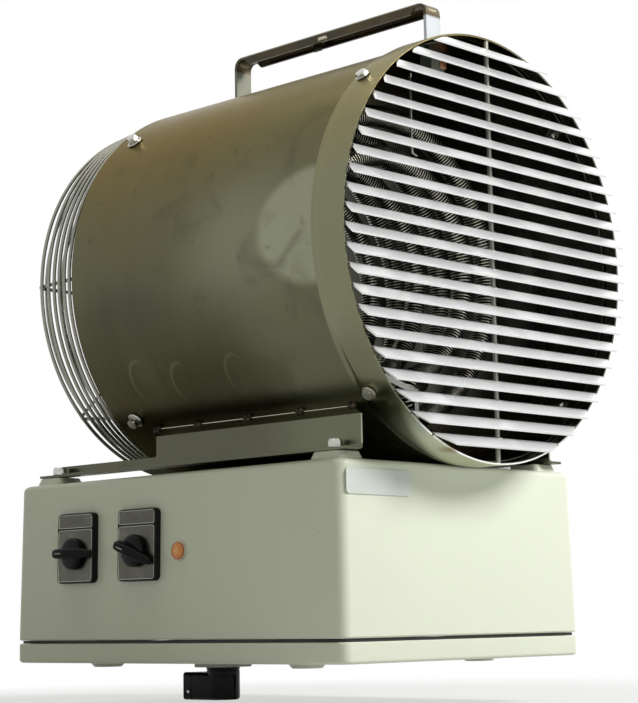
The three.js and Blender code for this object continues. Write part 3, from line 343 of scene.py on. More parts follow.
def maths(tree, operation, first, second):
    return add_node(tree, "ShaderNodeMath", {0: first, 1: second}, operation=operation).outputs["Value"]


def remapped(tree, value, low, high, to_low=0.0, to_high=1.0, ease="LINEAR"):
    """A value spread from one range over another."""
    return add_node(tree, "ShaderNodeMapRange", {
        "Value": value, "From Min": low, "From Max": high, "To Min": to_low, "To Max": to_high},
        interpolation_type=ease).outputs["Result"]


def object_place(tree):
    return add_node(tree, "ShaderNodeTexCoord").outputs["Object"]


def noise(tree, place, scale, detail, **more):
    return add_node(tree, "ShaderNodeTexNoise", {
        "Vector": place, "Scale": scale, "Detail": detail, **more}).outputs["Fac"]


def new_group(name, output, **inputs):
    """A shader group with named sockets; returns it, its given values and the socket of its result."""
    group = bpy.data.node_groups.new(name, "ShaderNodeTree")
    for label, value in inputs.items():
        kind = "NodeSocketVector" if isinstance(value, tuple) else "NodeSocketFloat"
        group.interface.new_socket(label, in_out="INPUT", socket_type=kind).default_value = value
    group.interface.new_socket(output, in_out="OUTPUT", socket_type="NodeSocketFloat")
    return group, group.nodes.new("NodeGroupInput").outputs, group.nodes.new("NodeGroupOutput").inputs[output]


def grain_group():
    """Fine lines or speckle: noise stretched along one direction."""
    group, given, result = new_group("Surface Grain", "Value", Stretch=(1, 1, 1), Scale=400.0, Detail=3.0)
    spread = add_node(group, "ShaderNodeMapping", {"Vector": object_place(group), "Scale": given["Stretch"]})
    feed(group, result, noise(group, spread.outputs["Vector"], given["Scale"], given["Detail"], Roughness=0.6))
    return group


def smudge_group():
    """Soft blotches between two limits, for handling marks and uneven tone."""
    group, given, result = new_group("Handling Smudges", "Mask", Scale=8.0, Low=0.4, High=0.7, Warp=0.6)
    cloud = noise(group, object_place(group), given["Scale"], 5.0, Distortion=given["Warp"])
    feed(group, result, remapped(group, cloud, given["Low"], given["High"], ease="SMOOTHSTEP"))
    return group


def dust_group():
    """Dust that lies on faces that look up, thinner where a hand wiped it."""
    group, given, result = new_group("Settled Dust", "Mask", Amount=0.3, Scale=30.0)
    normal = add_node(group, "ShaderNodeNewGeometry").outputs["Normal"]
    upward = add_node(group, "ShaderNodeSeparateXYZ", {"Vector": normal}).outputs["Z"]
    wiped = noise(group, object_place(group), given["Scale"], 6.0)
    lying = maths(group, "MULTIPLY", remapped(group, upward, 0.35, 1.0), wiped)
    feed(group, result, maths(group, "MULTIPLY", lying, given["Amount"]))
    return group


def wear_group():
    """Rubbed and bright edges, where the surface turns sharply."""
    group, given, result = new_group("Rubbed Edges", "Mask", Width=0.06, Scale=60.0)
    level = 0.52  # pointiness just above that of a flat face
    turning = add_node(group, "ShaderNodeNewGeometry").outputs["Pointiness"]
    edge = remapped(group, turning, level, maths(group, "ADD", given["Width"], level))
    broken = noise(group, object_place(group), given["Scale"], 4.0)
    feed(group, result, maths(group, "MULTIPLY", edge, broken))
    return group


def patch_group():
    """A soft-edged patch round one point: 1 within it and 0 outside."""
    group, given, result = new_group("Soft Patch", "Mask", Centre=(0, 0, 0), Size=(1, 1, 1), Edge=0.5)
    kind = "ShaderNodeVectorMath"
    away = add_node(group, kind, {0: object_place(group), 1: given["Centre"]}, operation="SUBTRACT")
    scaled = add_node(group, kind, {0: away.outputs["Vector"], 1: given["Size"]}, operation="DIVIDE")
    reach = add_node(group, kind, {0: scaled.outputs["Vector"]}, operation="LENGTH").outputs["Value"]
    feed(group, result, remapped(group, reach, given["Edge"], 1.0, 1.0, 0.0, "SMOOTHSTEP"))
    return group


GROUP_MAKERS = {"grain": grain_group, "smudge": smudge_group, "dust": dust_group, "wear": wear_group,
                "patch": patch_group}
GROUPS = {}


def placed(tree, label, **values):
    """One of the shared groups, placed in a material with its own values; returns its result."""
    if label not in GROUPS:
        GROUPS[label] = GROUP_MAKERS[label]()
    node = tree.nodes.new("ShaderNodeGroup")
    node.node_tree = GROUPS[label]
    for key, value in values.items():
        node.inputs[key].default_value = value
    return node.outputs[0]


def tinted(color, *factors):
    """A colour times one factor, or times one for each channel."""
    return [c * k for c, k in zip(color, factors * (3 // len(factors)))]


class Finish:
    """A material under way: it starts from one colour and gathers layers."""

    def __init__(self, name, color, roughness, metallic=0.0, **sockets):
        self.material = bpy.data.materials.new(name)
        self.material.use_nodes = True
        self.tree = self.material.node_tree
        self.shader = self.tree.nodes["Principled BSDF"]
        self.shader.inputs["Metallic"].default_value = metallic
        for key, value in sockets.items():
            self.shader.inputs[key.replace("_", " ")].default_value = value
        self.color = (*color, 1.0)
        self.roughness = roughness
        self.normal = None

    # the shared groups, each giving a mask or a value over the surface

    def smudge(self, scale, low=0.4, high=0.7, warp=0.6):
        return placed(self.tree, "smudge", Scale=scale, Low=low, High=high, Warp=warp)

    def grain(self, scale, detail, stretch=(1, 1, 1)):
        return placed(self.tree, "grain", Scale=scale, Detail=detail, Stretch=stretch)

    def dust(self, amount, scale):
        return placed(self.tree, "dust", Amount=amount, Scale=scale)

    def wear(self, width, scale):
        return placed(self.tree, "wear", Width=width, Scale=scale)

    def patch(self, centre, size, edge):
        return placed(self.tree, "patch", Centre=centre, Size=size, Edge=edge)

    def along(self, axis, low, high):
        """0 at low and 1 at high along one axis, in metres."""
        split = add_node(self.tree, "ShaderNodeSeparateXYZ", {"Vector": object_place(self.tree)})
        return remapped(self.tree, split.outputs[axis], low, high, ease="SMOOTHSTEP")

    def combined(self, operation, first, second):
        return maths(self.tree, operation, first, second)

    def blend(self, mask, color, amount=1.0):
        """Colour laid over what is there, where the mask says."""
        factor = maths(self.tree, "MULTIPLY", mask, amount)
        mix = add_node(self.tree, "ShaderNodeMix", {0: factor, 6: self.color, 7: (*color, 1.0)}, data_type="RGBA")
        self.color = mix.outputs[2]

    def rough(self, mask, low, high):
        """Roughness between two values; a second call adds to the first."""
        spread = remapped(self.tree, mask, 0.0, 1.0, low, high)
        layered = isinstance(self.roughness, bpy.types.NodeSocket)
        self.roughness = maths(self.tree, "ADD", self.roughness, spread) if layered else spread

    def bump(self, height, strength, distance):
        values = {"Height": height, "Strength": strength, "Distance": distance}
        if self.normal:
            values["Normal"] = self.normal
        self.normal = add_node(self.tree, "ShaderNodeBump", values).outputs["Normal"]

    def done(self):
        feed(self.tree, self.shader.inputs["Base Color"], self.color)
        feed(self.tree, self.shader.inputs["Roughness"], self.roughness)
        if self.normal:
            feed(self.tree, self.shader.inputs["Normal"], self.normal)
        return self.material


# ---- finishes ----


def enclosure_paint(settings):
    """Powder coat with a fine orange peel, a little dirt and rubbed corners."""
    finish = Finish("Enclosure Paint", settings.paint_color, 0.4, Specular_IOR_Level=0.4)
    tone = finish.smudge(6.0, 0.35, 0.75)
    finish.blend(tone, tinted(settings.paint_color, 0.95), 0.6)
    dirt = finish.dust(0.30, 22.0)
    finish.blend(dirt, (0.40, 0.38, 0.28), 0.6)
    specks = finish.smudge(160.0, 0.72, 0.77, 0.0)
    finish.blend(specks, tinted(settings.paint_color, 0.55), 0.3)
    rubbed = finish.wear(0.08, 90.0)
    finish.blend(rubbed, (0.62, 0.63, 0.58), 0.35)
    finish.rough(tone, 0.34, 0.46)
    peel = finish.grain(420.0, 2.0)
    finish.bump(peel, 0.12, 0.0004)
    waves = finish.grain(26.0, 1.0)
    finish.bump(waves, 0.05, 0.002)
    return finish.done()


def drum_steel(settings):
    """Rolled stainless sheet, browner towards the top, with painted highlights, a painted sheen, painted shade low
    at the rear and on its inner face, and a front and a right half painted lighter.
    """
    base = settings.steel_color
    brown = tinted(base, 1.42, 1.05, 0.80)
    painted_highlight = tinted(base, 3.1, 3.2, 3.7)
    finish = Finish("Drum Stainless", base, 0.30, metallic=1.0, Specular_Tint=(0.73, 0.67, 0.53, 1))
    tint = finish.smudge(3.6, 0.40, 0.66, 1.2)
    finish.blend(tint, tinted(base, 1.10, 0.92, 0.80), 0.7)
    finish.blend(finish.along("Z", 0.33, 0.45), brown, 0.95)
    # painted light: the sheet is made lighter towards the front
    front = finish.along("Y", -0.02, -0.16)
    finish.blend(front, tinted(base, 1.12, 1.16, 1.12), 0.55)
    # painted highlights: two pale patches on the left side, where the sheet reflects the light
    finish.blend(finish.patch((-0.17, -0.12, 0.335), (0.16, 0.10, 0.075), 0.1), painted_highlight, 0.30)
    finish.blend(finish.patch((-0.17, -0.195, 0.335), (0.16, 0.062, 0.050), 0.80), painted_highlight, 0.62)
    # painted shade: a dark patch low on the left side, towards the rear
    finish.blend(finish.patch((-0.17, 0.03, 0.29), (0.14, 0.10, 0.055), 0.1), (0.052, 0.055, 0.042), 0.80)
    shade = finish.combined("MULTIPLY", finish.along("Z", 0.32, 0.235), finish.along("Y", -0.155, -0.06))
    finish.blend(shade, tinted(base, 0.36, 0.32, 0.28), 0.95)
    # painted sheen: lighter and bluer low at the front
    ahead = finish.combined("MULTIPLY", finish.along("Z", 0.27, 0.205), finish.along("Y", -0.10, -0.16))
    finish.blend(ahead, tinted(base, 1.5, 1.5, 1.6), 0.8)
    # painted light: the right half gets a lighter plain grey than the darker left half
    finish.blend(finish.along("X", -0.03, 0.08), (0.185, 0.188, 0.158), 0.85)
    # painted shade on the drum's inner face
    painted_inner_shade = finish.patch((0, 0, AXIS), (DRUM_RADIUS - 0.0001, 9.0, DRUM_RADIUS - 0.0001), 0.994)
    finish.blend(painted_inner_shade, (0.060, 0.061, 0.057), 0.8)
    stains = finish.smudge(17.0, 0.52, 0.76, 0.9)
    finish.blend(stains, tinted(base, 0.58), 0.62)
    specks = finish.smudge(70.0, 0.62, 0.74, 0.4)
    finish.blend(specks, tinted(base, 0.5), 0.35)
    bands = finish.grain(60.0, 3.0, (0.04, 1.0, 0.04))
    finish.blend(bands, tinted(base, 1.5), 0.22)
    # crescents that the heat of the cradle's stitch welds left in the sheet
    for x, y, z in ((-0.1435, 0.030, 0.2375), (-0.1400, -0.018, 0.2315), (-0.1400, -0.083, 0.2318)):
        size = (0.030, 0.014, 0.020)
        outer = finish.patch((x, y, z), size, 0.90)
        inner = finish.patch((x, y - 0.0022, z - 0.0026), size, 0.90)
        crescent = finish.combined("MAXIMUM", finish.combined("SUBTRACT", outer, inner), 0.0)
        finish.blend(crescent, tinted(base, 1.4), 0.30)
    finish.rough(tint, 0.24, 0.34)
    fine = finish.grain(900.0, 4.0, (0.02, 1.0, 0.02))
    finish.rough(fine, -0.03, 0.05)
    finish.bump(fine, 0.015, 0.0002)
    dents = finish.grain(7.0, 1.0)
    finish.bump(dents, 0.06, 0.004)
    return finish.done()


def collar_steel(settings):
    """The collar's sheet, paler than the drum and browner towards the top, with heat brown at its foot and round
    its rim, a painted reflection that turns its lower part near white, and a right half painted lighter.
    """
    base = tinted(settings.steel_color, 1.85, 1.88, 1.95)
    finish = Finish("Collar Stainless", base, 0.28, metallic=1.0, Specular_Tint=(0.82, 0.79, 0.66, 1))
    tint = finish.smudge(5.0, 0.40, 0.70, 1.0)
    finish.blend(tint, tinted(base, 1.08, 0.95, 0.82), 0.6)
    finish.blend(finish.along("Z", 0.36, 0.46), tinted(base, 1.08, 0.88, 0.64), 0.8)
    # painted light: the right half gets a lighter plain grey than the left half
    finish.blend(finish.along("X", 0.0, 0.09), (0.215, 0.22, 0.19), 0.85)
    # painted reflection: the lower part of the collar turns near white
    foot = finish.along("Z", 0.200, 0.172)
    finish.blend(foot, (0.96, 0.98, 0.92), 1.0)
    burn = finish.patch((-0.056, -0.234, 0.168), (0.010, 0.022, 0.02), 0.1)
    finish.blend(burn, (0.34, 0.20, 0.09), 0.75)
    stains = finish.smudge(22.0, 0.55, 0.75)
    finish.blend(stains, tinted(base, 0.7), 0.4)
    finish.rough(tint, 0.22, 0.32)
    dents = finish.grain(9.0, 1.0)
    finish.bump(dents, 0.05, 0.003)
    return finish.done()


def handle_steel():
    """The handle's strap: dark along the grip and lighter on the legs, with a painted highlight on the front leg
    and along the grip's top edge, and painted light inside the grip's channel.
    """
    dark = (0.052, 0.046, 0.030)
    finish = Finish("Handle Steel", dark, 0.3, metallic=1.0)
    warm = finish.smudge(14.0, 0.40, 0.68)
    finish.blend(warm, (0.11, 0.078, 0.040), 0.6)
    low = GRIP_TOP - 0.0105
    legs = finish.along("Z", low, low - 0.003)
    finish.blend(legs, (0.120, 0.124, 0.096), 1.0)
    # painted highlight: the front leg is made much lighter, where it faces the light
    front = finish.combined("MULTIPLY", legs, finish.along("Y", -0.12, -0.15))
    finish.blend(front, (0.30, 0.318, 0.318), 0.97)
    # painted light: a lighter strip inside the grip's channel, lifting its shade
    inner = finish.patch((0, -0.061, GRIP_TOP - 0.004), (0.0078, 0.30, 0.0036), 0.9)
    finish.blend(inner, (0.26, 0.23, 0.155), 0.7)
    # painted highlight along the grip's top edge
    crest_highlight = finish.along("Z", GRIP_TOP - 0.0012, GRIP_TOP - 0.0007)
    finish.blend(crest_highlight, (0.40, 0.38, 0.30), 0.6)
    finish.rough(warm, 0.34, 0.46)
    lines = finish.grain(900.0, 3.0, (1, 0.04, 1))
    finish.bump(lines, 0.02, 0.0002)
    return finish.done()


def blade_steel():
    """Smooth bright blades, with a little haze."""
    finish = Finish("Louvre Steel", (0.84, 0.86, 0.85), 0.42, metallic=0.75)
    haze = finish.smudge(24.0, 0.42, 0.72)
    finish.blend(haze, (0.74, 0.76, 0.74), 0.5)
    rod = finish.patch((0.003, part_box("louvre_grille")[1][1] - 0.0016, AXIS), (0.0036, 0.0034, 9.0), 0.8)
    finish.blend(rod, (0.25, 0.25, 0.20), 0.9)
    finish.rough(haze, 0.38, 0.48)
    lines = finish.grain(700.0, 2.0, (0.04, 1, 1))
    finish.bump(lines, 0.01, 0.0001)
    return finish.done()


def plain_steel(name, color, roughness, stretch=(1, 0.05, 0.05), tint=0.3):
    """Bright or pickled steel with a directional grain and some handling marks."""
    finish = Finish(name, color, roughness, metallic=1.0)
    marks = finish.smudge(28.0, 0.42, 0.72)
    finish.blend(marks, tinted(color, 0.78, 0.73, 0.64), tint)
    rubbed = finish.wear(0.07, 120.0)
    finish.blend(rubbed, [min(1, c * 1.25) for c in color], 0.5)
    lines = finish.grain(1100.0, 3.0, stretch)
    finish.rough(marks, roughness - 0.04, roughness + 0.08)
    finish.rough(lines, -0.03, 0.05)
    finish.bump(lines, 0.05, 0.0002)
    return finish.done()


def cradle_steel():
    """Pickled sheet of the cradle rails, with painted shade that darkens it towards the rear."""
    finish = Finish("Cradle Steel", (0.128, 0.133, 0.088), 0.30, metallic=1.0)
    # painted shade: the rails darken towards the rear
    finish.blend(finish.along("Y", -0.17, -0.05), (0.080, 0.082, 0.056), 0.9)
    marks = finish.smudge(20.0, 0.42, 0.72, 0.5)
    finish.blend(marks, (0.088, 0.086, 0.058), 0.5)
    lines = finish.grain(1100.0, 3.0, (0.04, 1, 1))
    finish.rough(marks, 0.26, 0.38)
    finish.bump(lines, 0.04, 0.0002)
    return finish.done()


def moulded(name, color, roughness, grain_scale=900.0, coat=0.0, used=1.0, shine=0.5):
    """Moulded plastic or rubber: a fine pebbled skin with worn edges."""
    finish = Finish(name, color, roughness, Coat_Weight=coat, Specular_IOR_Level=shine)
    tone = finish.smudge(40.0, 0.4, 0.7)
    finish.blend(tone, [c * 1.35 + 0.004 for c in color], 0.35)
    rubbed = finish.wear(0.06, 160.0)
    finish.blend(rubbed, [c * 1.8 + 0.03 * used for c in color], 0.35 * used)
    dirt = finish.dust(0.3, 60.0)
    finish.blend(dirt, (0.30, 0.28, 0.23), 0.4 * used)
    pebbles = finish.grain(grain_scale, 2.0)
    finish.rough(tone, roughness - 0.05, roughness + 0.07)
    finish.bump(pebbles, 0.12, 0.0002)
    return finish.done()


def element_steel(name, color):
    """Heated sheath steel: grey to straw and blue-brown in patches."""
    finish = Finish(name, color, 0.42, metallic=1.0)
    straw = finish.smudge(11.0, 0.38, 0.62, 0.5)
    finish.blend(straw, tinted(color, 1.15, 0.92, 0.66), 0.6)
    scale = finish.smudge(55.0, 0.5, 0.7)
    finish.blend(scale, tinted(color, 0.5), 0.4)
    finish.rough(scale, 0.34, 0.55)
    lines = finish.grain(1500.0, 2.0)
    finish.bump(lines, 0.08, 0.0001)
    return finish.done()


def weld_metal():
    """Burnt beads, nearly black."""
    finish = Finish("Weld Bead", (0.055, 0.042, 0.028), 0.5, metallic=0.8)
    burn = finish.smudge(120.0, 0.38, 0.62)
    finish.blend(burn, (0.022, 0.014, 0.009), 0.8)
    finish.rough(burn, 0.36, 0.6)
    ripple = finish.grain(700.0, 2.0)
    finish.bump(ripple, 0.2, 0.0003)
    return finish.done()


def lens_amber(settings):
    """Amber lens with a painted glow at its middle and painted shade round its edge, and fine ribs."""
    finish = Finish("Lamp Lens", settings.lamp_color, 0.25, IOR=1.49, Coat_Weight=0.1)
    facets = finish.smudge(300.0, 0.4, 0.62)
    finish.blend(facets, (0.90, 0.42, 0.12), 0.25)
    centre = tuple(middle("lamp_lens"))
    rim = finish.patch(centre, (0.02, 0.0080, 0.0080), 0.55)
    # painted shade round the lens's edge
    around = finish.combined("SUBTRACT", 1.0, rim)
    finish.blend(around, (0.40, 0.11, 0.015), 0.85)
    # painted glow at the lens's middle
    painted_glow = finish.patch(centre, (0.02, 0.0042, 0.0042), 0.1)
    finish.blend(painted_glow, (1.0, 0.55, 0.13), 0.75)
    finish.rough(facets, 0.18, 0.32)
    ribs = finish.grain(700.0, 1.0)
    finish.bump(ribs, 0.15, 0.0003)
    return finish.done()


def white_plate():
    """Gloss sheet of the bare front plate."""
    finish = Finish("White Plate", (0.66, 0.71, 0.66), 0.4)
    tone = finish.smudge(30.0, 0.4, 0.7)
    finish.blend(tone, (0.60, 0.65, 0.60), 0.5)
    rubbed = finish.wear(0.05, 120.0)
    finish.blend(rubbed, (0.5, 0.5, 0.46), 0.4)
    finish.rough(tone, 0.3, 0.42)
    return finish.done()


def legend_metal():
    """Anodised plate: dark, with a straight grain and a soft shine in places."""
    finish = Finish("Legend Plate", (0.080, 0.080, 0.064), 0.34, metallic=1.0)
    lines = finish.grain(2200.0, 3.0, (1, 0.03, 1))
    finish.blend(lines, (0.060, 0.060, 0.048), 0.6)
    marks = finish.smudge(60.0, 0.45, 0.7)
    finish.blend(marks, (0.14, 0.14, 0.115), 0.45)
    finish.rough(marks, 0.26, 0.40)
    finish.bump(lines, 0.04, 0.0001)
    return finish.done()


def mineral_board():
    """Pressed fibre board that carries the elements."""
    finish = Finish("Mineral Board", (0.55, 0.51, 0.42), 0.8)
    fibres = finish.smudge(120.0, 0.4, 0.6)
    finish.blend(fibres, (0.40, 0.36, 0.28), 0.6)
    rough = finish.grain(600.0, 4.0, (1, 0.2, 1))
    finish.bump(rough, 0.3, 0.0005)
    finish.rough(fibres, 0.7, 0.9)
    return finish.done()


MATERIALS = {}

FINISH_OF_NODES = (
    ("enclosure_body", "paint"), ("enclosure_lid", "paint"), ("enclosure_gasket", "rubber"), ("foot_", "paint"),
    ("lid_screw", "bright"), ("lug_bolt", "bright"), ("cradle", "rail"), ("barrel_casing", "drum"),
    ("outlet_collar", "collar"), ("collar_bolt", "bright"), ("guard_bolt", "bright"), ("louvre_grille", "louvre"),
    ("rear_guard", "wire"), ("carry_handle", "handle"), ("motor_plate", "plate_steel"), ("fan_motor", "motor"),
    ("motor_shaft", "bright"), ("fan_impeller", "fan"), ("shaft_nut", "bright"), ("heating_element", "element"),
    ("element_carrier", "board"), ("element_stay", "bright"), ("thermal_cutout", "green"),
    ("cutout_probe", "bright"), ("switch_bezel", "black"), ("switch_plate", "legend"), ("switch_knob", "black"),
    ("contact_block", "grey"), ("lamp_holder", "bright"), ("lamp_lens", "lens"), ("label_plate", "plate"),
    ("inlet_housing", "black"), ("inlet_insert", "grey"), ("gear_rail", "bright"), ("contactor", "black"),
    ("terminal_block", "grey"),
)


def dress(pattern, finish):
    """Gives the carried-over solids whose names start with the pattern their finish."""
    for name, node in NODES.items():
        if name.startswith(pattern):
            slots = node.data.materials
            if not slots:
                slots.append(MATERIALS[finish])
            for i in range(len(slots)):
                slots[i] = MATERIALS[finish]


# ---- settings ----


class HeaterColors(bpy.types.PropertyGroup):
    """Colours and small sizes that someone may want to change."""

    paint_color: FloatVectorProperty(
        name="Enclosure Paint", description="Powder coat of the control enclosure",
        default=(0.715, 0.765, 0.625), subtype="COLOR", size=3, min=0, max=1)
    steel_color: FloatVectorProperty(
        name="Drum Steel", description="Rolled stainless sheet of the drum and the collar",
        default=(0.096, 0.097, 0.060), subtype="COLOR", size=3, min=0, max=1)
    lamp_color: FloatVectorProperty(
        name="Lamp Lens", description="Colour of the pilot lamp's lens",
        default=(0.85, 0.27, 0.03), subtype="COLOR", size=3, min=0, max=1)
    fin_pitch: FloatProperty(
        name="Fin Pitch", description="Distance from one turn of the fin to the next",
        default=0.0028, min=0.0015, max=0.01, subtype="DISTANCE", unit="LENGTH")
    fin_thickness: FloatProperty(
        name="Fin Thickness", description="Thickness of the wound fin strip",
        default=0.0006, min=0.0002, max=0.002, subtype="DISTANCE", unit="LENGTH")
    wire_radius: FloatProperty(
        name="Guard Wire", description="Radius of the guard's wires",
        default=0.0016, min=0.0008, max=0.004, subtype="DISTANCE", unit="LENGTH")
    bead_width: FloatProperty(
        name="Weld Width", description="Width of the weld beads",
        default=0.0050, min=0.001, max=0.01, subtype="DISTANCE", unit="LENGTH")


class StudioSettings(bpy.types.PropertyGroup):
    """Light and floor of the studio."""

    key_power: FloatProperty(
        name="Key Light", description="Power of the large light at the front right",
        default=93.0, min=0, max=1000, subtype="POWER", unit="POWER")
    fill_power: FloatProperty(
        name="Fill Light", description="Power of the soft light at the left",
        default=3.0, min=0, max=1000, subtype="POWER", unit="POWER")
    top_power: FloatProperty(
        name="Top Light", description="Power of the soft light overhead",
        default=14.0, min=0, max=1000, subtype="POWER", unit="POWER")
    floor_color: FloatVectorProperty(
        name="Floor", description="Colour of the plain floor",
        default=(0.62, 0.62, 0.61), subtype="COLOR", size=3, min=0, max=1)
    floor_drop: FloatProperty(
        name="Floor Drop", description="Floor below the heater's lowest point",
        default=0.002, min=0, max=0.5, subtype="DISTANCE", unit="LENGTH")


# ---- operators ----


class HEATER_OT_materials(bpy.types.Operator):
    """Make the finishes and give them to the carried-over solids"""

    bl_idname = "heater.materials"
    bl_label = "Materials"

    def execute(self, context):
        settings = context.scene.heater_colors
        speckled = (1, 1, 1)
        MATERIALS.update({
            "paint": enclosure_paint(settings),
            "drum": drum_steel(settings),
            "collar": collar_steel(settings),
            "rail": cradle_steel(),
            "edge": plain_steel("Sheet Edge", (0.46, 0.47, 0.40), 0.3, speckled, 0.2),
            "bright": plain_steel("Bright Steel", (0.46, 0.46, 0.42), 0.24, tint=0.35),
            "rod": plain_steel("Rod Steel", (0.40, 0.39, 0.31), 0.34, speckled, 0.6),
            "louvre": blade_steel(),
            "wire": plain_steel("Guard Wire Steel", (0.24, 0.24, 0.20), 0.28, speckled, 0.35),
            "handle": handle_steel(),
            "element": element_steel("Element Sheath", (0.055, 0.055, 0.050)),
            "fin": element_steel("Element Fin", (0.070, 0.069, 0.060)),
            "rim": plain_steel("Fin Rim", (0.85, 0.83, 0.70), 0.4, speckled, 0.4),
            "weld": weld_metal(),
            "black": moulded("Black Moulding", (0.006, 0.006, 0.006), 0.34, used=0.3, shine=0.16),
            "gloss": moulded("Gloss Black", (0.003, 0.003, 0.003), 0.18, used=0.03, shine=0.10),
            "rubber": moulded("Black Rubber", (0.020, 0.020, 0.020), 0.72, 500.0),
            "grey": moulded("Grey Moulding", (0.30, 0.32, 0.30), 0.5),
            "green": moulded("Cut-out Body", (0.16, 0.18, 0.15), 0.45),
            "copper": plain_steel("Copper Strip", (0.75, 0.36, 0.20), 0.28),
            "motor": moulded("Motor Paint", (0.020, 0.022, 0.022), 0.42, 500.0, 0.15),
            "fan": plain_steel("Pressed Impeller", (0.16, 0.16, 0.15), 0.42, speckled, 0.35),
            "plate_steel": plain_steel("Motor Plate", (0.10, 0.10, 0.085), 0.4, speckled, 0.35),
            "lens": lens_amber(settings),
            "plate": white_plate(),
            "legend": legend_metal(),
            "board": mineral_board(),
            "ink": moulded("Printed Mark", (0.008, 0.008, 0.008), 0.5),
        })
        for pattern, finish in FINISH_OF_NODES:
            dress(pattern, finish)
        return {"FINISHED"}


class HEATER_OT_drum(bpy.types.Operator):
    """Make the drum's sheet and the outlet collar with its joggled lip"""

    bl_idname = "heater.drum"
    bl_label = "Drum and Collar"

    def execute(self, context):
        steps = 256
        e = 0.0003  # broken edges of the sheets
        r, y0, y1 = DRUM_RADIUS, DRUM_LOW.y, DRUM_HIGH.y
        bore = r - 0.0014
        mesh_piece("drum_sheet", revolve([
            (r - e, y0), (r, y0 + e), (r, y1 - e), (r - e, y1),
            (bore + e, y1), (bore, y1 - e), (bore, y0 + e), (bore + e, y0),
        ], steps), "drum", "barrel_casing")
        seam = [Vector((0.0012, y0 + 0.014 + (y1 - y0 - 0.02) * i / 40, AXIS - r - 0.0001)) for i in range(41)]
        mesh_piece("drum_seam", sweep(seam, 0.0007, 8, reference=Vector((1, 0, 0))), "weld")

        r, y0, y1 = COLLAR_RADIUS, COLLAR_LOW.y, COLLAR_HIGH.y
        sheet = 0.0016
        bore = r - sheet
        lip = y1 - 0.005  # the joggle steps down here, from the collar's radius to the drum's
        low = DRUM_RADIUS + 0.0003
        mesh_piece("collar_sheet", revolve([
            (bore + e, y0), (r - e, y0), (r, y0 + e), (r, lip - 0.0030), (r - 0.0002, lip - 0.0022),
            (low + sheet + 0.0002, lip - 0.0006), (low + sheet, lip), (low + sheet, y1 - e),
            (low + sheet - e, y1), (low, y1), (low, lip), (low + 0.0003, lip - 0.0008),
            (bore, lip - 0.0026), (bore, y0 + e),
        ], steps), "collar", "outlet_collar")
        return {"FINISHED"}


class HEATER_OT_enclosure(bpy.types.Operator):
    """Make the enclosure's cast body with its four lugs, and the lid with its inlet pad"""

    bl_idname = "heater.enclosure"
    bl_label = "Enclosure"

    def execute(self, context):
        corner_steps = 10
        width, length = BODY_HIGH.x - BODY_LOW.x, BODY_HIGH.y - BODY_LOW.y
        foot, lug_top = BODY_LOW.z, BODY_HIGH.z
        top = lug_top - 0.0066
        edge = 0.005
        rings = [rounded_rectangle(width - 0.0024, length - 0.0024, CORNER - 0.001, foot, corner_steps),
                 rounded_rectangle(width, length, CORNER, foot + 0.0012, corner_steps)]
        for s, c in quarter(8):
            z = top - edge * (1 - s)
            side = 2 * (z - foot) * math.tan(DRAFT) + 2 * edge * (1 - c)
            rings.append(rounded_rectangle(width - side, length - side, CORNER, z, corner_steps))
        parts = [skin(rings)]
        lug_width, lug_length = 0.0256, 0.0304
        for sx, y in ((-1, -0.1718), (1, -0.1718), (1, 0.1668), (-1, 0.1668)):
            spot = (sx * 0.1222, y)
            fillet, roll = 0.0018, 0.0016
            lug = []
            for s, c in quarter(4):
                grow = fillet * (1 - s) + 0.0014
                lug.append(rounded_rectangle(lug_width + 2 * grow, lug_length + 2 * grow, 0.004 + grow,
                                             top + fillet * (1 - c) - 0.0002, 6, spot))
            for s, c in quarter(4):
                inset = roll * (1 - c)
                lug.append(rounded_rectangle(lug_width - 2 * inset, lug_length - 2 * inset, 0.005 - inset,
                                             lug_top - roll * (1 - s), 6, spot))
            parts.append(skin(lug))
        mesh_piece("enclosure_casting", merge(*parts), "paint", "enclosure_body")

        floor, top = LID_LOW.z + 0.0073, LID_HIGH.z
        width, length = LID_HIGH.x - LID_LOW.x, LID_HIGH.y - LID_LOW.y
        edge = 0.003
        rings = []
        for s, c in quarter(6):
            inset = edge * (1 - s)
            rings.append(rounded_rectangle(width - 2 * inset, length - 2 * inset, CORNER - inset / 2,
                                           floor + edge * (1 - c), corner_steps))
        rings.append(rounded_rectangle(width, length, CORNER, top - 0.0008, corner_steps))
        rings.append(rounded_rectangle(width - 0.0016, length - 0.0016, CORNER - 0.0008, top, corner_steps))
        pad = rounded_block(0.0375, 0.0375, 0.002, LID_LOW.z, floor + 0.001, 0.0005, 4, (0, 0.088), 0.0013)
        mesh_piece("lid_casting", merge(skin(rings), pad), "paint", "enclosure_lid")

        sheet = rounded_block(0.0735, 0.0200, 0.0034, 0, 0.0005, 0.0002, 6)
        place = shift(-0.10275, -0.19724, 0.14129) @ turned(math.radians(89), "X")
        mesh_piece("label_sheet", moved(sheet, place), "plate", "label_plate")
        for k in range(1, 5):
            centre = middle(f"foot_{k}")
            pad = spun([(0, 0), (0.0118, 0), (0.0127, 0.0009), (0.0146, floor - 0.0010),
                        (0.01475, floor - 0.0003), (0.004, floor - 0.0003), (0.004, floor + 0.004),
                        (0, floor + 0.004)], 48)
            mesh_piece(f"foot_pad_{k}", moved(pad, shift(centre.x, centre.y, 0)), "paint",
                       f"foot_{k}")
        return {"FINISHED"}


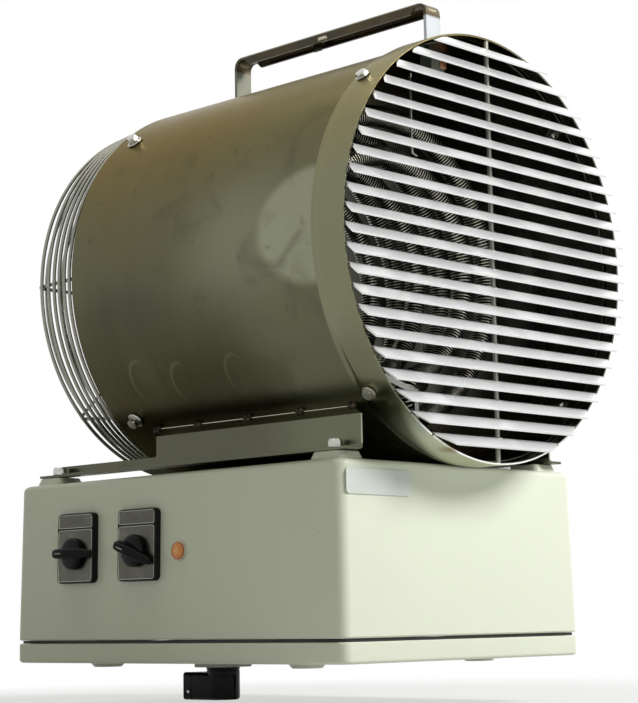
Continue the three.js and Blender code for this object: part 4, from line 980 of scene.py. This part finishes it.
class HEATER_OT_guard(bpy.types.Operator):
    """Make the basket guard of round welded wires with its four drilled tabs"""

    bl_idname = "heater.guard"
    bl_label = "Rear Guard"

    def execute(self, context):
        wire = context.scene.heater_colors.wire_radius
        weld = 0.00192  # from a ring's wire to the upright wire on it
        first_ring = 0.098
        back = 0.1515
        shoulder = 0.008
        tab_outer = 0.1697

        def side(y):
            return 0.168 - (y - first_ring) * 0.11

        def ring(radius, y, steps=128):
            return sweep([about_axis(radius, y, TAU * i / steps) for i in range(steps)], wire, 10, closed=True)

        parts = [ring(side(y), y) for y in (first_ring, 0.106, 0.114, 0.122, 0.131, 0.142)]
        bend = side(back - shoulder)
        flat = side(back) - shoulder
        parts += [ring(flat - 0.005 - k * 0.0165, back + weld, 96) for k in range(6)]
        for k in range(8):
            angle = k * TAU / 8
            up = Vector((math.cos(angle), 0, math.sin(angle)))
            held = k % 2 == 1
            start = 0.0715 if held else 0.095
            first = tab_outer - 0.002 - wire * 0.7 if held else side(start) - weld
            line = [(first, start), (side(first_ring) - weld, first_ring), (bend - weld, back - shoulder)]
            for s, c in quarter(8)[1:]:
                line.append((flat - weld + (bend - flat) * c, back - shoulder + shoulder * s))
            line.append((0.054, back))
            path = [up * r + Vector((0, y, AXIS)) for r, y in line]
            reference = Vector((-math.sin(angle), 0, math.cos(angle)))
            parts.append(sweep(path, wire, 10, reference=reference))
            if held:
                tab = rounded_block(0.016, 0.018, 0.004, -0.00155, 0, 0.0003, 5)
                parts.append(moved(tab, radial(angle, GUARD_BOLT_Y) @ shift(0, 0, tab_outer - 0.0004)))
        mesh_piece("guard_wires", merge(*parts), "wire", "rear_guard")
        return {"FINISHED"}


def element_line():
    """The points of one element's centre line, each with true where it is finned."""
    step = 0.002
    outer, inner, bend = 0.130, 0.096, 0.017
    leg_a, leg_b = -0.045, -0.008
    end = math.radians(-72)
    line = []

    def arc(cx, cz, radius, start, stop):
        count = max(2, int(abs(stop - start) * radius / step))
        for i in range(count):
            angle = start + (stop - start) * i / count
            line.append((Vector((cx + radius * math.cos(angle), 0, cz + radius * math.sin(angle))), True))

    def leg(x, z0, z1, finned):
        count = max(2, int(abs(z1 - z0) / step))
        for i in range(count):
            line.append((Vector((x, 0, z0 + (z1 - z0) * i / count)), finned))

    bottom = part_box("heating_element_1")[0][2] - AXIS
    bare = -outer - bend - 0.004
    one = (leg_a - bend, -math.sqrt((outer + bend) ** 2 - (leg_a - bend) ** 2))
    two = (leg_b - bend, -math.sqrt((inner + bend) ** 2 - (leg_b - bend) ** 2))
    start = math.atan2(one[1], one[0])
    finish = math.atan2(two[1], two[0]) + TAU
    leg(leg_a, bottom, bare, False)
    leg(leg_a, bare, one[1], True)
    arc(*one, bend, 0, start + math.pi)
    arc(0, 0, outer, start + TAU, end)
    centre = (outer + inner) / 2
    arc(centre * math.cos(end), centre * math.sin(end), (outer - inner) / 2, end, end - math.pi)
    arc(0, 0, inner, end, finish)
    arc(*two, bend, finish - math.pi, 0)
    leg(leg_b, two[1], bare, True)
    leg(leg_b, bare, bottom, False)
    line.append((Vector((leg_b, 0, bottom)), False))
    return line


def wound_fin(path, core, tip, pitch, thickness):
    """A strip wound on edge round a path, from the core's radius to the tip's."""
    sides = 12
    half = thickness / 2
    lengths = [0.0]
    for a, b in zip(path, path[1:]):
        lengths.append(lengths[-1] + (b - a).length)
    count = int(lengths[-1] / pitch) * sides
    rows = []
    at = 0
    for i in range(count + 1):
        s = lengths[-1] * i / count
        while at < len(lengths) - 2 and lengths[at + 1] < s:
            at += 1
        t = (s - lengths[at]) / max(lengths[at + 1] - lengths[at], 1e-9)
        p = path[at].lerp(path[at + 1], t)
        along = (path[min(at + 2, len(path) - 1)] - path[max(at - 1, 0)]).normalized()
        across = Vector((along.z, 0, -along.x))
        angle = TAU * i / sides
        out = across * math.cos(angle) + Vector((0, 1, 0)) * math.sin(angle)
        reach = tip * (1 - 0.012 * (i % 2))  # the crimped rim
        rows.append([p + out * core - along * half, p + out * reach - along * half,
                     p + out * reach + along * half, p + out * core + along * half])
    return skin(rows)


class HEATER_OT_elements(bpy.types.Operator):
    """Make the three bent elements: a sheath with a strip wound round it as a fin"""

    bl_idname = "heater.elements"
    bl_label = "Heating Elements"

    def execute(self, context):
        settings = context.scene.heater_colors
        line = element_line()
        core, tip = 0.0042, 0.0094
        fin = wound_fin([p for p, finned in line if finned], core, tip, settings.fin_pitch, settings.fin_thickness)
        sheath = sweep([p for p, _ in line[::3]] + [line[-1][0]], core, 14)
        for k in range(1, 4):
            node = f"heating_element_{k}"
            place = shift(0, middle(node).y, AXIS)
            mesh_piece(f"element_sheath_{k}", moved(sheath, place), "element", node)
            strip = mesh_piece(f"element_fin_{k}", moved(fin, place), "fin")
            strip.data.materials.append(MATERIALS["rim"])
            for polygon in strip.data.polygons:
                if len(polygon.vertices) == 4 and all(v % 4 in (1, 2) for v in polygon.vertices):
                    polygon.material_index = 1
        return {"FINISHED"}


class HEATER_OT_welds(bpy.types.Operator):
    """Lay the stitch welds of the cradle rails, the handle and the louvre rod"""

    bl_idname = "heater.welds"
    bl_label = "Welds"

    def execute(self, context):
        width = context.scene.heater_colors.bead_width
        across = Vector((1, 0, 0))
        x, z = 0.1126, 0.2013  # where a cradle rail meets the drum
        parts = []
        for side in (-1, 1):
            for k, y in enumerate((0.046, -0.0045, -0.0644, -0.124, -0.181)):
                low = Vector((side * (x + 0.0020), y, z - 0.0040))
                high = Vector((side * (x - 0.0016), y, z + 0.0034))
                for along in (-0.0022, 0.0018):
                    step = Vector((0, along, 0.0003 * k))
                    parts.append(bead(low + step, high + step, width, 2, k + along * 900))
        low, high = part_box("carry_handle")
        top = AXIS + DRUM_RADIUS - 0.0002
        for y, out in ((low[1] + 0.0015, -0.0018), (high[1] - 0.0015, 0.0018)):
            ends = (Vector((sx * 0.0085, y + out, top)) for sx in (-1, 1))
            parts.append(bead(*ends, width * 0.6, 6, y))
        mesh_piece("weld_beads", merge(*parts), "weld")
        for side, label in ((-1, "left"), (1, "right")):
            line = [Vector((side * (x + 0.0003), -0.182 + 0.232 * i / 30, z - 0.0004)) for i in range(31)]
            end = [Vector((side * 0.1178, -0.1946, 0.1708 + 0.0228 * i / 6)) for i in range(7)]
            edges = merge(sweep(line, 0.0005, 6, reference=across), sweep(end, 0.0007, 6, reference=across))
            mesh_piece(f"cradle_edge_{label}", edges, "rod")

        bound = COLLAR_RADIUS - 0.0016
        rod_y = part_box("louvre_grille")[1][1] - 0.0020
        spots, ends = [], []
        for k in range(22):
            z = AXIS + bound - 0.0077 - k * 0.0152 - 0.0010
            centre = Vector((0.003, rod_y - 0.0013, z))
            spots.append(bead(centre - across * 0.0026, centre + across * 0.0026, 0.0036, 2, k))
            reach = math.sqrt(max(bound ** 2 - (z - AXIS) ** 2, 0))
            for side in (-1, 1):
                spot = Vector((side * (reach - 0.0002), COLLAR_LOW.y + 0.0006, z - 0.0004))
                low, high = spot - Vector((0, 0.0007, 0.0011)), spot + Vector((0, 0.0012, 0.0011))
                ends.append(bead(low, high, 0.0026, 2, k))
        spot = bead(Vector((-0.0090, -0.0635, 0.5438)), Vector((-0.0090, -0.0525, 0.5438)), 0.0048, 5, 3)
        mesh_piece("handle_weld", spot, "rod")
        tab = rounded_block(0.0080, 0.0075, 0.001, -0.0005, 0.0010, 0.0003, 4)
        place = shift(-0.0008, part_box("thermal_cutout")[0][1], 0.4942) @ turned(math.pi / 2, "X")
        mesh_piece("cutout_tab", moved(tab, place), "copper")
        mesh_piece("rod_welds", merge(*spots), "rod")
        mesh_piece("blade_welds", merge(*ends), "weld")
        return {"FINISHED"}


class HEATER_OT_bolts(bpy.types.Operator):
    """Make the hexagon bolts of the collar, the guard and the lugs"""

    bl_idname = "heater.bolts"
    bl_label = "Bolts"

    def execute(self, context):
        inner = DRUM_RADIUS - 0.0018
        for k, angle in enumerate(DIAGONALS, start=1):
            head = COLLAR_RADIUS + 0.0003
            parts = [
                spun([(0, 0), (0.0056, 0), (0.0060, 0.0003), (0.0060, 0.0008), (0, 0.0008)], 32, head),
                hexagon_head(0.0088, head + 0.0007, head + 0.0040),
                hexagon_head(0.010, inner - 0.0045, inner, 0.06),
                thread(inner - 0.0066, 0.0006, head),
            ]
            mesh_piece(f"collar_fastener_{k}", moved(merge(*parts), radial(angle, COLLAR_BOLT_Y)), "bright",
                       f"collar_bolt_{k}")
            head = DRUM_RADIUS + 0.0003
            parts = [
                spun([(0, 0), (0.0066, 0), (0.0070, 0.0004), (0.0070, 0.0013), (0.0066, 0.0016), (0, 0.0016)],
                     32, head),
                spun([(0, 0.0014), (0.0054, 0.0014), (0.0054, 0.0030), (0, 0.0032)], 32, head),
                hexagon_head(0.0088, head + 0.0030, head + 0.0071),
                hexagon_head(0.010, inner - 0.0072, inner - 0.0026, 0.06),
                thread(inner - 0.0092, 0.0006, head),
            ]
            mesh_piece(f"guard_fastener_{k}", moved(merge(*parts), radial(angle, GUARD_BOLT_Y)), "bright",
                       f"guard_bolt_{k}")
        for k in range(1, 5):
            node = f"lug_bolt_{k}"
            centre = middle(node)
            bottom, top = (corner[2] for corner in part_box(node))
            foot = top - 0.0066
            parts = [
                spun([(0, 0), (0.0055, 0), (0.0058, 0.0003), (0.0058, 0.0013), (0.0055, 0.0016), (0, 0.0016)],
                     40, foot),
                hexagon_head(0.010, foot + 0.0015, top - 0.0001),
                thread(bottom + 0.001, 0.001, foot),
            ]
            place = shift(centre.x, centre.y, 0) @ turned(0.4 + 0.7 * (k - 1), "Z")
            mesh_piece(f"lug_fastener_{k}", moved(merge(*parts), place), "bright", node)
        return {"FINISHED"}


def on_face(y, up):
    """Frame on the switch face: x towards -Y, y up the face, z out of it; up is from its lower edge."""
    outward_axis = Vector((-math.cos(DRAFT), 0, math.sin(DRAFT)))
    upward_axis = Vector((math.sin(DRAFT), 0, math.cos(DRAFT)))
    across = Vector((0, -1, 0))
    origin = Vector((BODY_LOW.x, 0, BODY_LOW.z)) - across * y + upward_axis * up
    turn = Matrix((across, upward_axis, outward_axis)).transposed().to_4x4()
    return Matrix.Translation(origin) @ turn


def printed(text, size, x, y, z, place, name):
    """A printed mark, such as a dial's number, as a thin mesh."""
    curve = bpy.data.curves.new(name, "FONT")
    curve.body = text
    curve.size = size
    curve.align_x = "CENTER"
    curve.align_y = "CENTER"
    curve.extrude = 0.00004
    shown = bpy.data.objects.new(name, curve)
    shown.matrix_world = place @ shift(x, y, z)
    bpy.context.scene.collection.objects.link(shown)
    bpy.context.view_layer.update()
    mesh = bpy.data.meshes.new_from_object(shown.evaluated_get(bpy.context.evaluated_depsgraph_get()))
    mesh.transform(shown.matrix_world)
    bpy.data.objects.remove(shown)
    add_piece(name, mesh, "ink")


def superellipse(wide, low, high, ahead, foot):
    """One section of the knob's grip, in millimetres above its foot."""
    ring = []
    for i in range(32):
        angle = TAU * i / 32
        s, c = math.sin(angle), math.cos(angle)
        across = wide / 2 * abs(c) ** 0.62 * (1 if c > 0 else -1)
        rise = (low + high) / 2 + (high - low) / 2 * abs(s) ** 0.62 * (1 if s > 0 else -1)
        ring.append(Vector((across * MM, ahead * MM, foot + rise * MM)))
    return ring


class HEATER_OT_switches(bpy.types.Operator):
    """Make the rotary switches: bezel, legend plates with dial numbers, and knob"""

    bl_idname = "heater.switches"
    bl_label = "Rotary Switches"

    def execute(self, context):
        lift = 0.0063  # the bezel's rim above the switch face
        recess = lift - 0.0013
        surface = recess + 0.0009
        knob_y = -0.005
        dial = 0.0178
        dials = (
            (0.1102, 90, "knob_one", (("0", 45), ("1", 0)), "I"),
            (0.0302, 65, "knob_two", (("0", 62), ("1", 0), ("2", -52)), "II"),
        )
        # the grip's sections: ahead of the knob's axis, width, bottom and top, in millimetres
        sections = ((-25.0, 2.6, 2.6, 4.0), (-24.4, 4.4, 2.5, 4.9), (-22.0, 6.0, 2.5, 6.2),
                    (-17.5, 7.4, 2.5, 8.1), (-12.0, 8.4, 2.5, 10.2), (-6.0, 9.0, 2.5, 12.4),
                    (0.0, 9.0, 2.5, 14.3), (5.0, 9.0, 2.5, 15.9), (8.5, 8.8, 2.5, 16.4),
                    (10.8, 8.2, 2.7, 16.3), (12.0, 7.0, 3.2, 15.4), (12.5, 5.0, 4.2, 13.8))
        for k, (y, turn, body, marks, title) in enumerate(dials, start=1):
            place = on_face(y, 0.078)
            bezel = skin([rounded_rectangle(wide, tall, corner, z, 8) for wide, tall, corner, z in (
                (0.048, 0.060, 0.005, 0.0003), (0.048, 0.060, 0.005, 0.0048), (0.0474, 0.0594, 0.0048, 0.0058),
                (0.0460, 0.0580, 0.0042, lift), (0.0456, 0.0576, 0.0022, lift),
                (0.0456, 0.0576, 0.0022, lift - 0.0017))])
            mesh_piece(f"bezel_moulding_{k}", moved(bezel, place), "black", f"switch_bezel_{k}")
            sheets, lines = [], []
            for wide, tall, up, corner in ((0.0448, 0.0113, 0.0228, 0.0014), (0.0448, 0.0440, -0.0064, 0.0024)):
                sheets.append(rounded_block(wide, tall, corner, recess, surface, 0.0003, 5, (0, up)))
            for wide, tall, up, corner in ((0.0444, 0.0109, 0.0228, 0.0013), (0.0444, 0.0436, -0.0064, 0.0022)):
                path = [p + Vector((0, up, surface)) for p in rounded_rectangle(wide, tall, corner, 0, 5)]
                lines.append(sweep(path, 0.00024, 6, closed=True, reference=Vector((0, 0, 1))))
            mesh_piece(f"legend_sheet_{k}", moved(merge(*sheets), place), "legend",
                       f"switch_plate_{k}")
            mesh_piece(f"legend_border_{k}", moved(merge(*lines), place), "edge")
            for text, angle in marks:
                turned_by = math.radians(angle)
                printed(text, 0.0052, -dial * math.sin(turned_by), knob_y + dial * math.cos(turned_by), surface,
                        place, f"dial_mark_{k}_{text}")
            printed(title, 0.0062, 0, 0.0228, surface, place, f"legend_mark_{k}")

            foot = lift - 0.0003
            hub = place @ shift(0, knob_y, 0) @ turned(math.radians(turn), "Z")
            skirt = spun([(0, 0), (0.0131, 0), (0.0135, 0.0004), (0.0135, 0.0046), (0.0130, 0.0057),
                          (0.0119, 0.0066), (0.0100, 0.0070), (0, 0.0070)], 64, foot)
            grip = skin([superellipse(wide, low, high, ahead, foot) for ahead, wide, low, high in sections])
            stem = spun([(0, -0.009), (0.004, -0.009), (0.004, foot + 0.001), (0, foot + 0.001)], 20)
            mesh_piece(f"knob_moulding_{k}", moved(merge(skirt, grip, stem), hub), "gloss",
                       f"switch_knob_{k}", body)
            slope = shift(0, 0.0040, foot + 0.01545) @ turned(0.30, "X")
            pointer = rounded_block(0.0011, 0.0062, 0.0005, -0.0006, 0.00025, 0.0001, 3)
            mesh_piece(f"knob_pointer_{k}", moved(pointer, hub @ slope), "grey", body=body)
        return {"FINISHED"}


class HEATER_OT_lamp(bpy.types.Operator):
    """Make the pilot lamp's ribbed lens and its holder"""

    bl_idname = "heater.lamp"
    bl_label = "Pilot Lamp"

    def execute(self, context):
        place = on_face(-0.0167, 0.0715)
        foot = 0.0013
        holder = spun([
            (0, foot), (0.0078, foot), (0.0081, foot - 0.0001), (0.0083, foot - 0.0005), (0.0084, 0.0004),
            (0.0083, 0.0003), (0.0055, 0.0003), (0.0055, -0.026), (0, -0.026),
        ], 64)
        mesh_piece("lamp_bezel", moved(holder, place), "rod", "lamp_holder")
        radius = 0.0075
        profile = [(0, 0.0003), (0.0074, 0.0003), (radius, 0.0005)]
        profile += [(radius * c ** 0.8, 0.0005 + 0.0021 * s) for s, c in quarter(10)[1:10]]
        profile.append((0, 0.0026))
        mesh_piece("lamp_dome", moved(spun(profile, 64, foot), place), "lens", "lamp_lens")
        return {"FINISHED"}


class HEATER_OT_fan(bpy.types.Operator):
    """Make the impeller's twisted blades and hub, and the motor's ribbed shell"""

    bl_idname = "heater.fan"
    bl_label = "Fan and Motor"

    def execute(self, context):
        front, rear, radius, bore = 0.036, 0.076, 0.042, 0.0063
        parts = [revolve([
            (bore, front), (radius - 0.008, front), (radius - 0.004, front + 0.001),
            (radius - 0.001, front + 0.004), (radius, front + 0.009), (radius, rear - 0.0005),
            (radius - 0.0005, rear), (radius - 0.003, rear), (radius - 0.003, front + 0.006),
            (0.014, front + 0.006), (0.014, rear - 0.008), (bore, rear - 0.008),
        ], 96)]
        blades, spans, tip = 5, 16, 0.156
        root = radius - 0.0012
        rest = math.radians(15)  # where the blades happen to stand
        stations = [-0.5 + j / 12 for j in range(13)]
        for k in range(blades):
            rings = []
            for i in range(spans + 1):
                span = i / spans
                r = root + (tip - root) * span
                chord = 0.046 + 0.036 * span
                if span > 0.93:
                    chord *= 1 - 0.10 * ((span - 0.93) / 0.07) ** 2
                pitch = math.radians(44 - 19 * span)
                thick = 0.0030 - 0.0012 * span
                ring = []
                for face, order in ((1, stations), (-1, stations[::-1])):
                    for t in order:
                        camber = chord * 0.08 * (1 - 4 * t * t) + face * thick * (0.15 + 0.35 * (1 - (2 * t) ** 2))
                        around = chord * t * math.cos(pitch) - camber * math.sin(pitch)
                        along = chord * t * math.sin(pitch) + camber * math.cos(pitch)
                        angle = k * TAU / blades - rest + around / r + span * 0.25
                        ring.append(about_axis(r, FAN_Y + along, angle))
                rings.append(ring)
            parts.append(skin(rings))
        mesh_piece("impeller", merge(*parts), "fan", "fan_impeller", "fan")

        low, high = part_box("fan_motor")
        y0, y1, r = low[1], high[1], 0.046
        profile = [(bore, y0), (0.020, y0), (0.022, y0 + 0.005), (r - 0.006, y0 + 0.0065),
                   (r - 0.001, y0 + 0.0105), (r, y0 + 0.0125)]
        for k in range(6):
            y = y0 + 0.016 + k * 0.005
            profile += [(r, y), (r - 0.0018, y + 0.0006), (r - 0.0018, y + 0.0022), (r, y + 0.0028)]
        profile += [(r, y1 - 0.008), (r - 0.007, y1 - 0.004), (r - 0.007, y1), (bore, y1)]
        mesh_piece("motor_shell", revolve(profile, 96), "motor", "fan_motor")
        return {"FINISHED"}


class HEATER_OT_inlet(bpy.types.Operator):
    """Make the right-angle power inlet with its ribs, seam and screw"""

    bl_idname = "heater.inlet"
    bl_label = "Power Inlet"

    def execute(self, context):
        low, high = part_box("inlet_housing")
        y0, y1, z0, top = low[1], high[1], low[2], high[2]
        z1 = z0 + 0.0246
        half, wall, turn_y = 0.015, 0.003, 0.088

        def section(y, inset, radius, heel=1.0):
            flat = rounded_rectangle(2 * (half * heel - inset), (z1 - z0) - 2 * inset, radius, 0, 6)
            return [Vector((p.x, y, (z0 + z1) / 2 + p.y)) for p in flat]

        rings = []
        for i, (s, c) in enumerate(quarter(8)[1:], start=1):
            rings.append(section(turn_y - (turn_y - y0) * c, 0.0004 * (8 - i) / 8, 0.0034, s))
        corner, mouth = 0.003, 0.0015
        for y, inset, radius in ((0.1129, 0.0, corner), (0.1134, 0.0005, corner), (0.1146, 0.0005, corner),
                                 (0.1151, 0.0, corner), (y1 - 0.0006, 0.0, corner), (y1, 0.0006, corner),
                                 (y1, wall - 0.0004, mouth), (y1 - 0.0004, wall, mouth),
                                 (y1 - 0.0236, wall, mouth)):
            rings.append(section(y, inset, radius))
        neck_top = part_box("enclosure_lid")[0][2] - 0.0003
        neck = spun([
            (0, z1 - 0.003), (0.0150, z1 - 0.003), (0.0150, z1 + 0.0010), (0.0145, z1 + 0.0014),
            (0.0145, z1 + 0.0020), (0.0151, z1 + 0.0024), (0.0151, neck_top - 0.0004), (0.0147, neck_top),
            (0.009, neck_top), (0.009, top), (0, top),
        ], 64)
        parts = [skin(rings), moved(neck, shift(0, turn_y, 0))]
        rib = rounded_block(0.0010, 0.020, 0.0004, 0, 0.0005, 0.0002, 3)
        for side in (-1, 1):
            for z in (0.008, 0.0165):
                parts.append(moved(rib, shift(side * half, 0.099, z0 + z) @ turned(side * math.pi / 2, "Y")))
        mesh_piece("inlet_moulding", merge(*parts), "gloss", "inlet_housing")
        screw = spun([(0, 0), (0.0014, 0), (0.0016, 0.0002), (0.0015, 0.0005), (0.0008, 0.0008), (0, 0.0009)], 24)
        place = shift(-half - 0.00005, 0.1180, z0 + 0.0075) @ turned(-math.pi / 2, "Y")
        mesh_piece("inlet_screw", moved(screw, place), "bright")
        return {"FINISHED"}


def seen(tree):
    """1 for what the camera, a reflection or a clear surface looks at, and 0 for light on the heater."""
    rays = tree.nodes.new("ShaderNodeLightPath").outputs
    looked_at = maths(tree, "MAXIMUM", rays["Is Camera Ray"], rays["Is Glossy Ray"])
    return maths(tree, "MAXIMUM", looked_at, rays["Is Transmission Ray"])


def paper_floor(color):
    """Pale paper that keeps the shadow near the heater and turns white further out."""
    paper = bpy.data.materials.new("Studio Paper")
    paper.use_nodes = True
    tree = paper.node_tree
    shader = tree.nodes["Principled BSDF"]
    shader.inputs["Roughness"].default_value = 0.9
    shader.inputs["Specular IOR Level"].default_value = 0.1
    tone = add_node(tree, "ShaderNodeMix", {
        0: placed(tree, "smudge", Scale=3.0, Low=0.3, High=0.8),
        6: (*color, 1), 7: (*tinted(color, 0.985), 1)}, data_type="RGBA")
    tree.links.new(tone.outputs[2], shader.inputs["Base Color"])
    near = placed(tree, "patch", Centre=(0, 0, 0), Size=(0.72, 0.72, 9.0), Edge=0.42)
    beyond = remapped(tree, near, 0.0, 1.0, 1.0, 0.62)
    white = add_node(tree, "ShaderNodeEmission", {"Color": (1, 1, 1, 1), "Strength": 1.0})
    blended = add_node(tree, "ShaderNodeMixShader", {
        0: maths(tree, "MULTIPLY", seen(tree), beyond), 1: shader.outputs["BSDF"], 2: white.outputs["Emission"]})
    tree.links.new(blended.outputs[0], tree.nodes["Material Output"].inputs["Surface"])
    return paper


def studio_world():
    """A soft ambient light on the heater, in front of a white background."""
    world = bpy.data.worlds.new("Studio World")
    world.use_nodes = True
    tree = world.node_tree
    tree.nodes.clear()
    ambient = add_node(tree, "ShaderNodeBackground", {"Color": (1.0, 1.0, 0.78, 1), "Strength": 0.175})
    backdrop = add_node(tree, "ShaderNodeBackground", {"Color": (1, 1, 1, 1), "Strength": 1.0})
    mixed = add_node(tree, "ShaderNodeMixShader", {0: seen(tree), 1: ambient.outputs[0], 2: backdrop.outputs[0]})
    add_node(tree, "ShaderNodeOutputWorld", {"Surface": mixed.outputs[0]})
    return world


def photo_camera():
    """The camera where the fit to the object's edges puts it."""
    image_width, focal_pixels = 638, 1909.81
    camera = bpy.data.cameras.new("camera")
    camera.sensor_fit = "HORIZONTAL"
    camera.sensor_width = 36.0
    camera.lens = 36.0 * focal_pixels / image_width
    camera.clip_start = 0.05
    azimuth, elevation, roll = (math.radians(a) for a in (-46.19, -7.93, -0.98))
    back = Vector((math.sin(azimuth) * math.cos(elevation), -math.cos(azimuth) * math.cos(elevation),
                   math.sin(elevation)))
    level = Vector((math.cos(azimuth), math.sin(azimuth), 0))
    right = level * math.cos(roll) + back.cross(level) * math.sin(roll)
    turn = Matrix((right, back.cross(right), back)).transposed().to_4x4()
    eye = bpy.data.objects.new("camera", camera)
    eye.matrix_world = shift(-1.1898, -1.1792, 0.0391) @ turn
    return eye


class HEATER_OT_stage(bpy.types.Operator):
    """Set the floor, the soft lights, the background and the camera"""

    bl_idname = "heater.stage"
    bl_label = "Stage"

    def execute(self, context):
        studio = context.scene.heater_studio
        shown = context.scene.collection.objects
        size = 9.0
        floor_z = CAD_LOW[2] - studio.floor_drop
        mesh = bpy.data.meshes.new("studio_floor")
        mesh.from_pydata([(x * size, y * size, floor_z) for x, y in ((-1, -1), (1, -1), (1, 1), (-1, 1))],
                         [], [(0, 1, 2, 3)])
        mesh.materials.append(paper_floor(studio.floor_color))
        floor = bpy.data.objects.new("studio_floor", mesh)
        shown.link(floor)
        context.scene.world = studio_world()

        aim = Vector((0, -0.05, 0.27))
        lamps = (
            ("key_light", Vector((1.15, -2.1, 1.95)), 1.1, studio.key_power, (1.0, 0.975, 1.0)),
            ("fill_light", Vector((-2.4, -0.9, 1.1)), 1.6, studio.fill_power, (1.0, 1.0, 0.92)),
            ("top_light", Vector((-0.2, 0.3, 2.6)), 1.8, studio.top_power, (1.0, 0.98, 0.95)),
        )
        for name, spot, wide, power, color in lamps:
            lamp = bpy.data.lights.new(name, "AREA")
            lamp.shape = "SQUARE"
            lamp.size = wide
            lamp.energy = power
            lamp.color = color
            holder = bpy.data.objects.new(name, lamp)
            holder.location = spot
            holder.rotation_euler = (aim - spot).to_track_quat("-Z", "Y").to_euler()
            shown.link(holder)

        eye = photo_camera()
        shown.link(eye)
        context.scene.camera = eye
        context.scene.view_settings.view_transform = "Standard"
        return {"FINISHED"}


STEPS = ("materials", "drum", "enclosure", "guard", "elements", "welds", "bolts", "switches", "lamp", "fan",
         "inlet", "stage")


class HEATER_PT_panel(bpy.types.Panel):
    """Lists the heater's building steps and settings"""

    bl_idname = "HEATER_PT_panel"
    bl_label = "Forced Air Heater"
    bl_space_type = "VIEW_3D"
    bl_region_type = "UI"
    bl_category = "Heater"

    def draw(self, context):
        layout = self.layout
        for step in STEPS:
            layout.operator(f"heater.{step}")
        for group in (context.scene.heater_colors, context.scene.heater_studio):
            for name in group.__annotations__:
                layout.prop(group, name)


CLASSES = (
    HeaterColors, StudioSettings, HEATER_OT_materials, HEATER_OT_drum, HEATER_OT_enclosure, HEATER_OT_guard,
    HEATER_OT_elements, HEATER_OT_welds, HEATER_OT_bolts, HEATER_OT_switches, HEATER_OT_lamp, HEATER_OT_fan,
    HEATER_OT_inlet, HEATER_OT_stage, HEATER_PT_panel,
)


def register():
    for cls in CLASSES:
        bpy.utils.register_class(cls)
    bpy.types.Scene.heater_colors = PointerProperty(type=HeaterColors)
    bpy.types.Scene.heater_studio = PointerProperty(type=StudioSettings)


def unregister():
    del bpy.types.Scene.heater_studio
    del bpy.types.Scene.heater_colors
    for cls in reversed(CLASSES):
        bpy.utils.unregister_class(cls)


def main():
    register()
    for step in STEPS:
        getattr(bpy.ops.heater, step)()


if __name__ == "__main__":
    main()
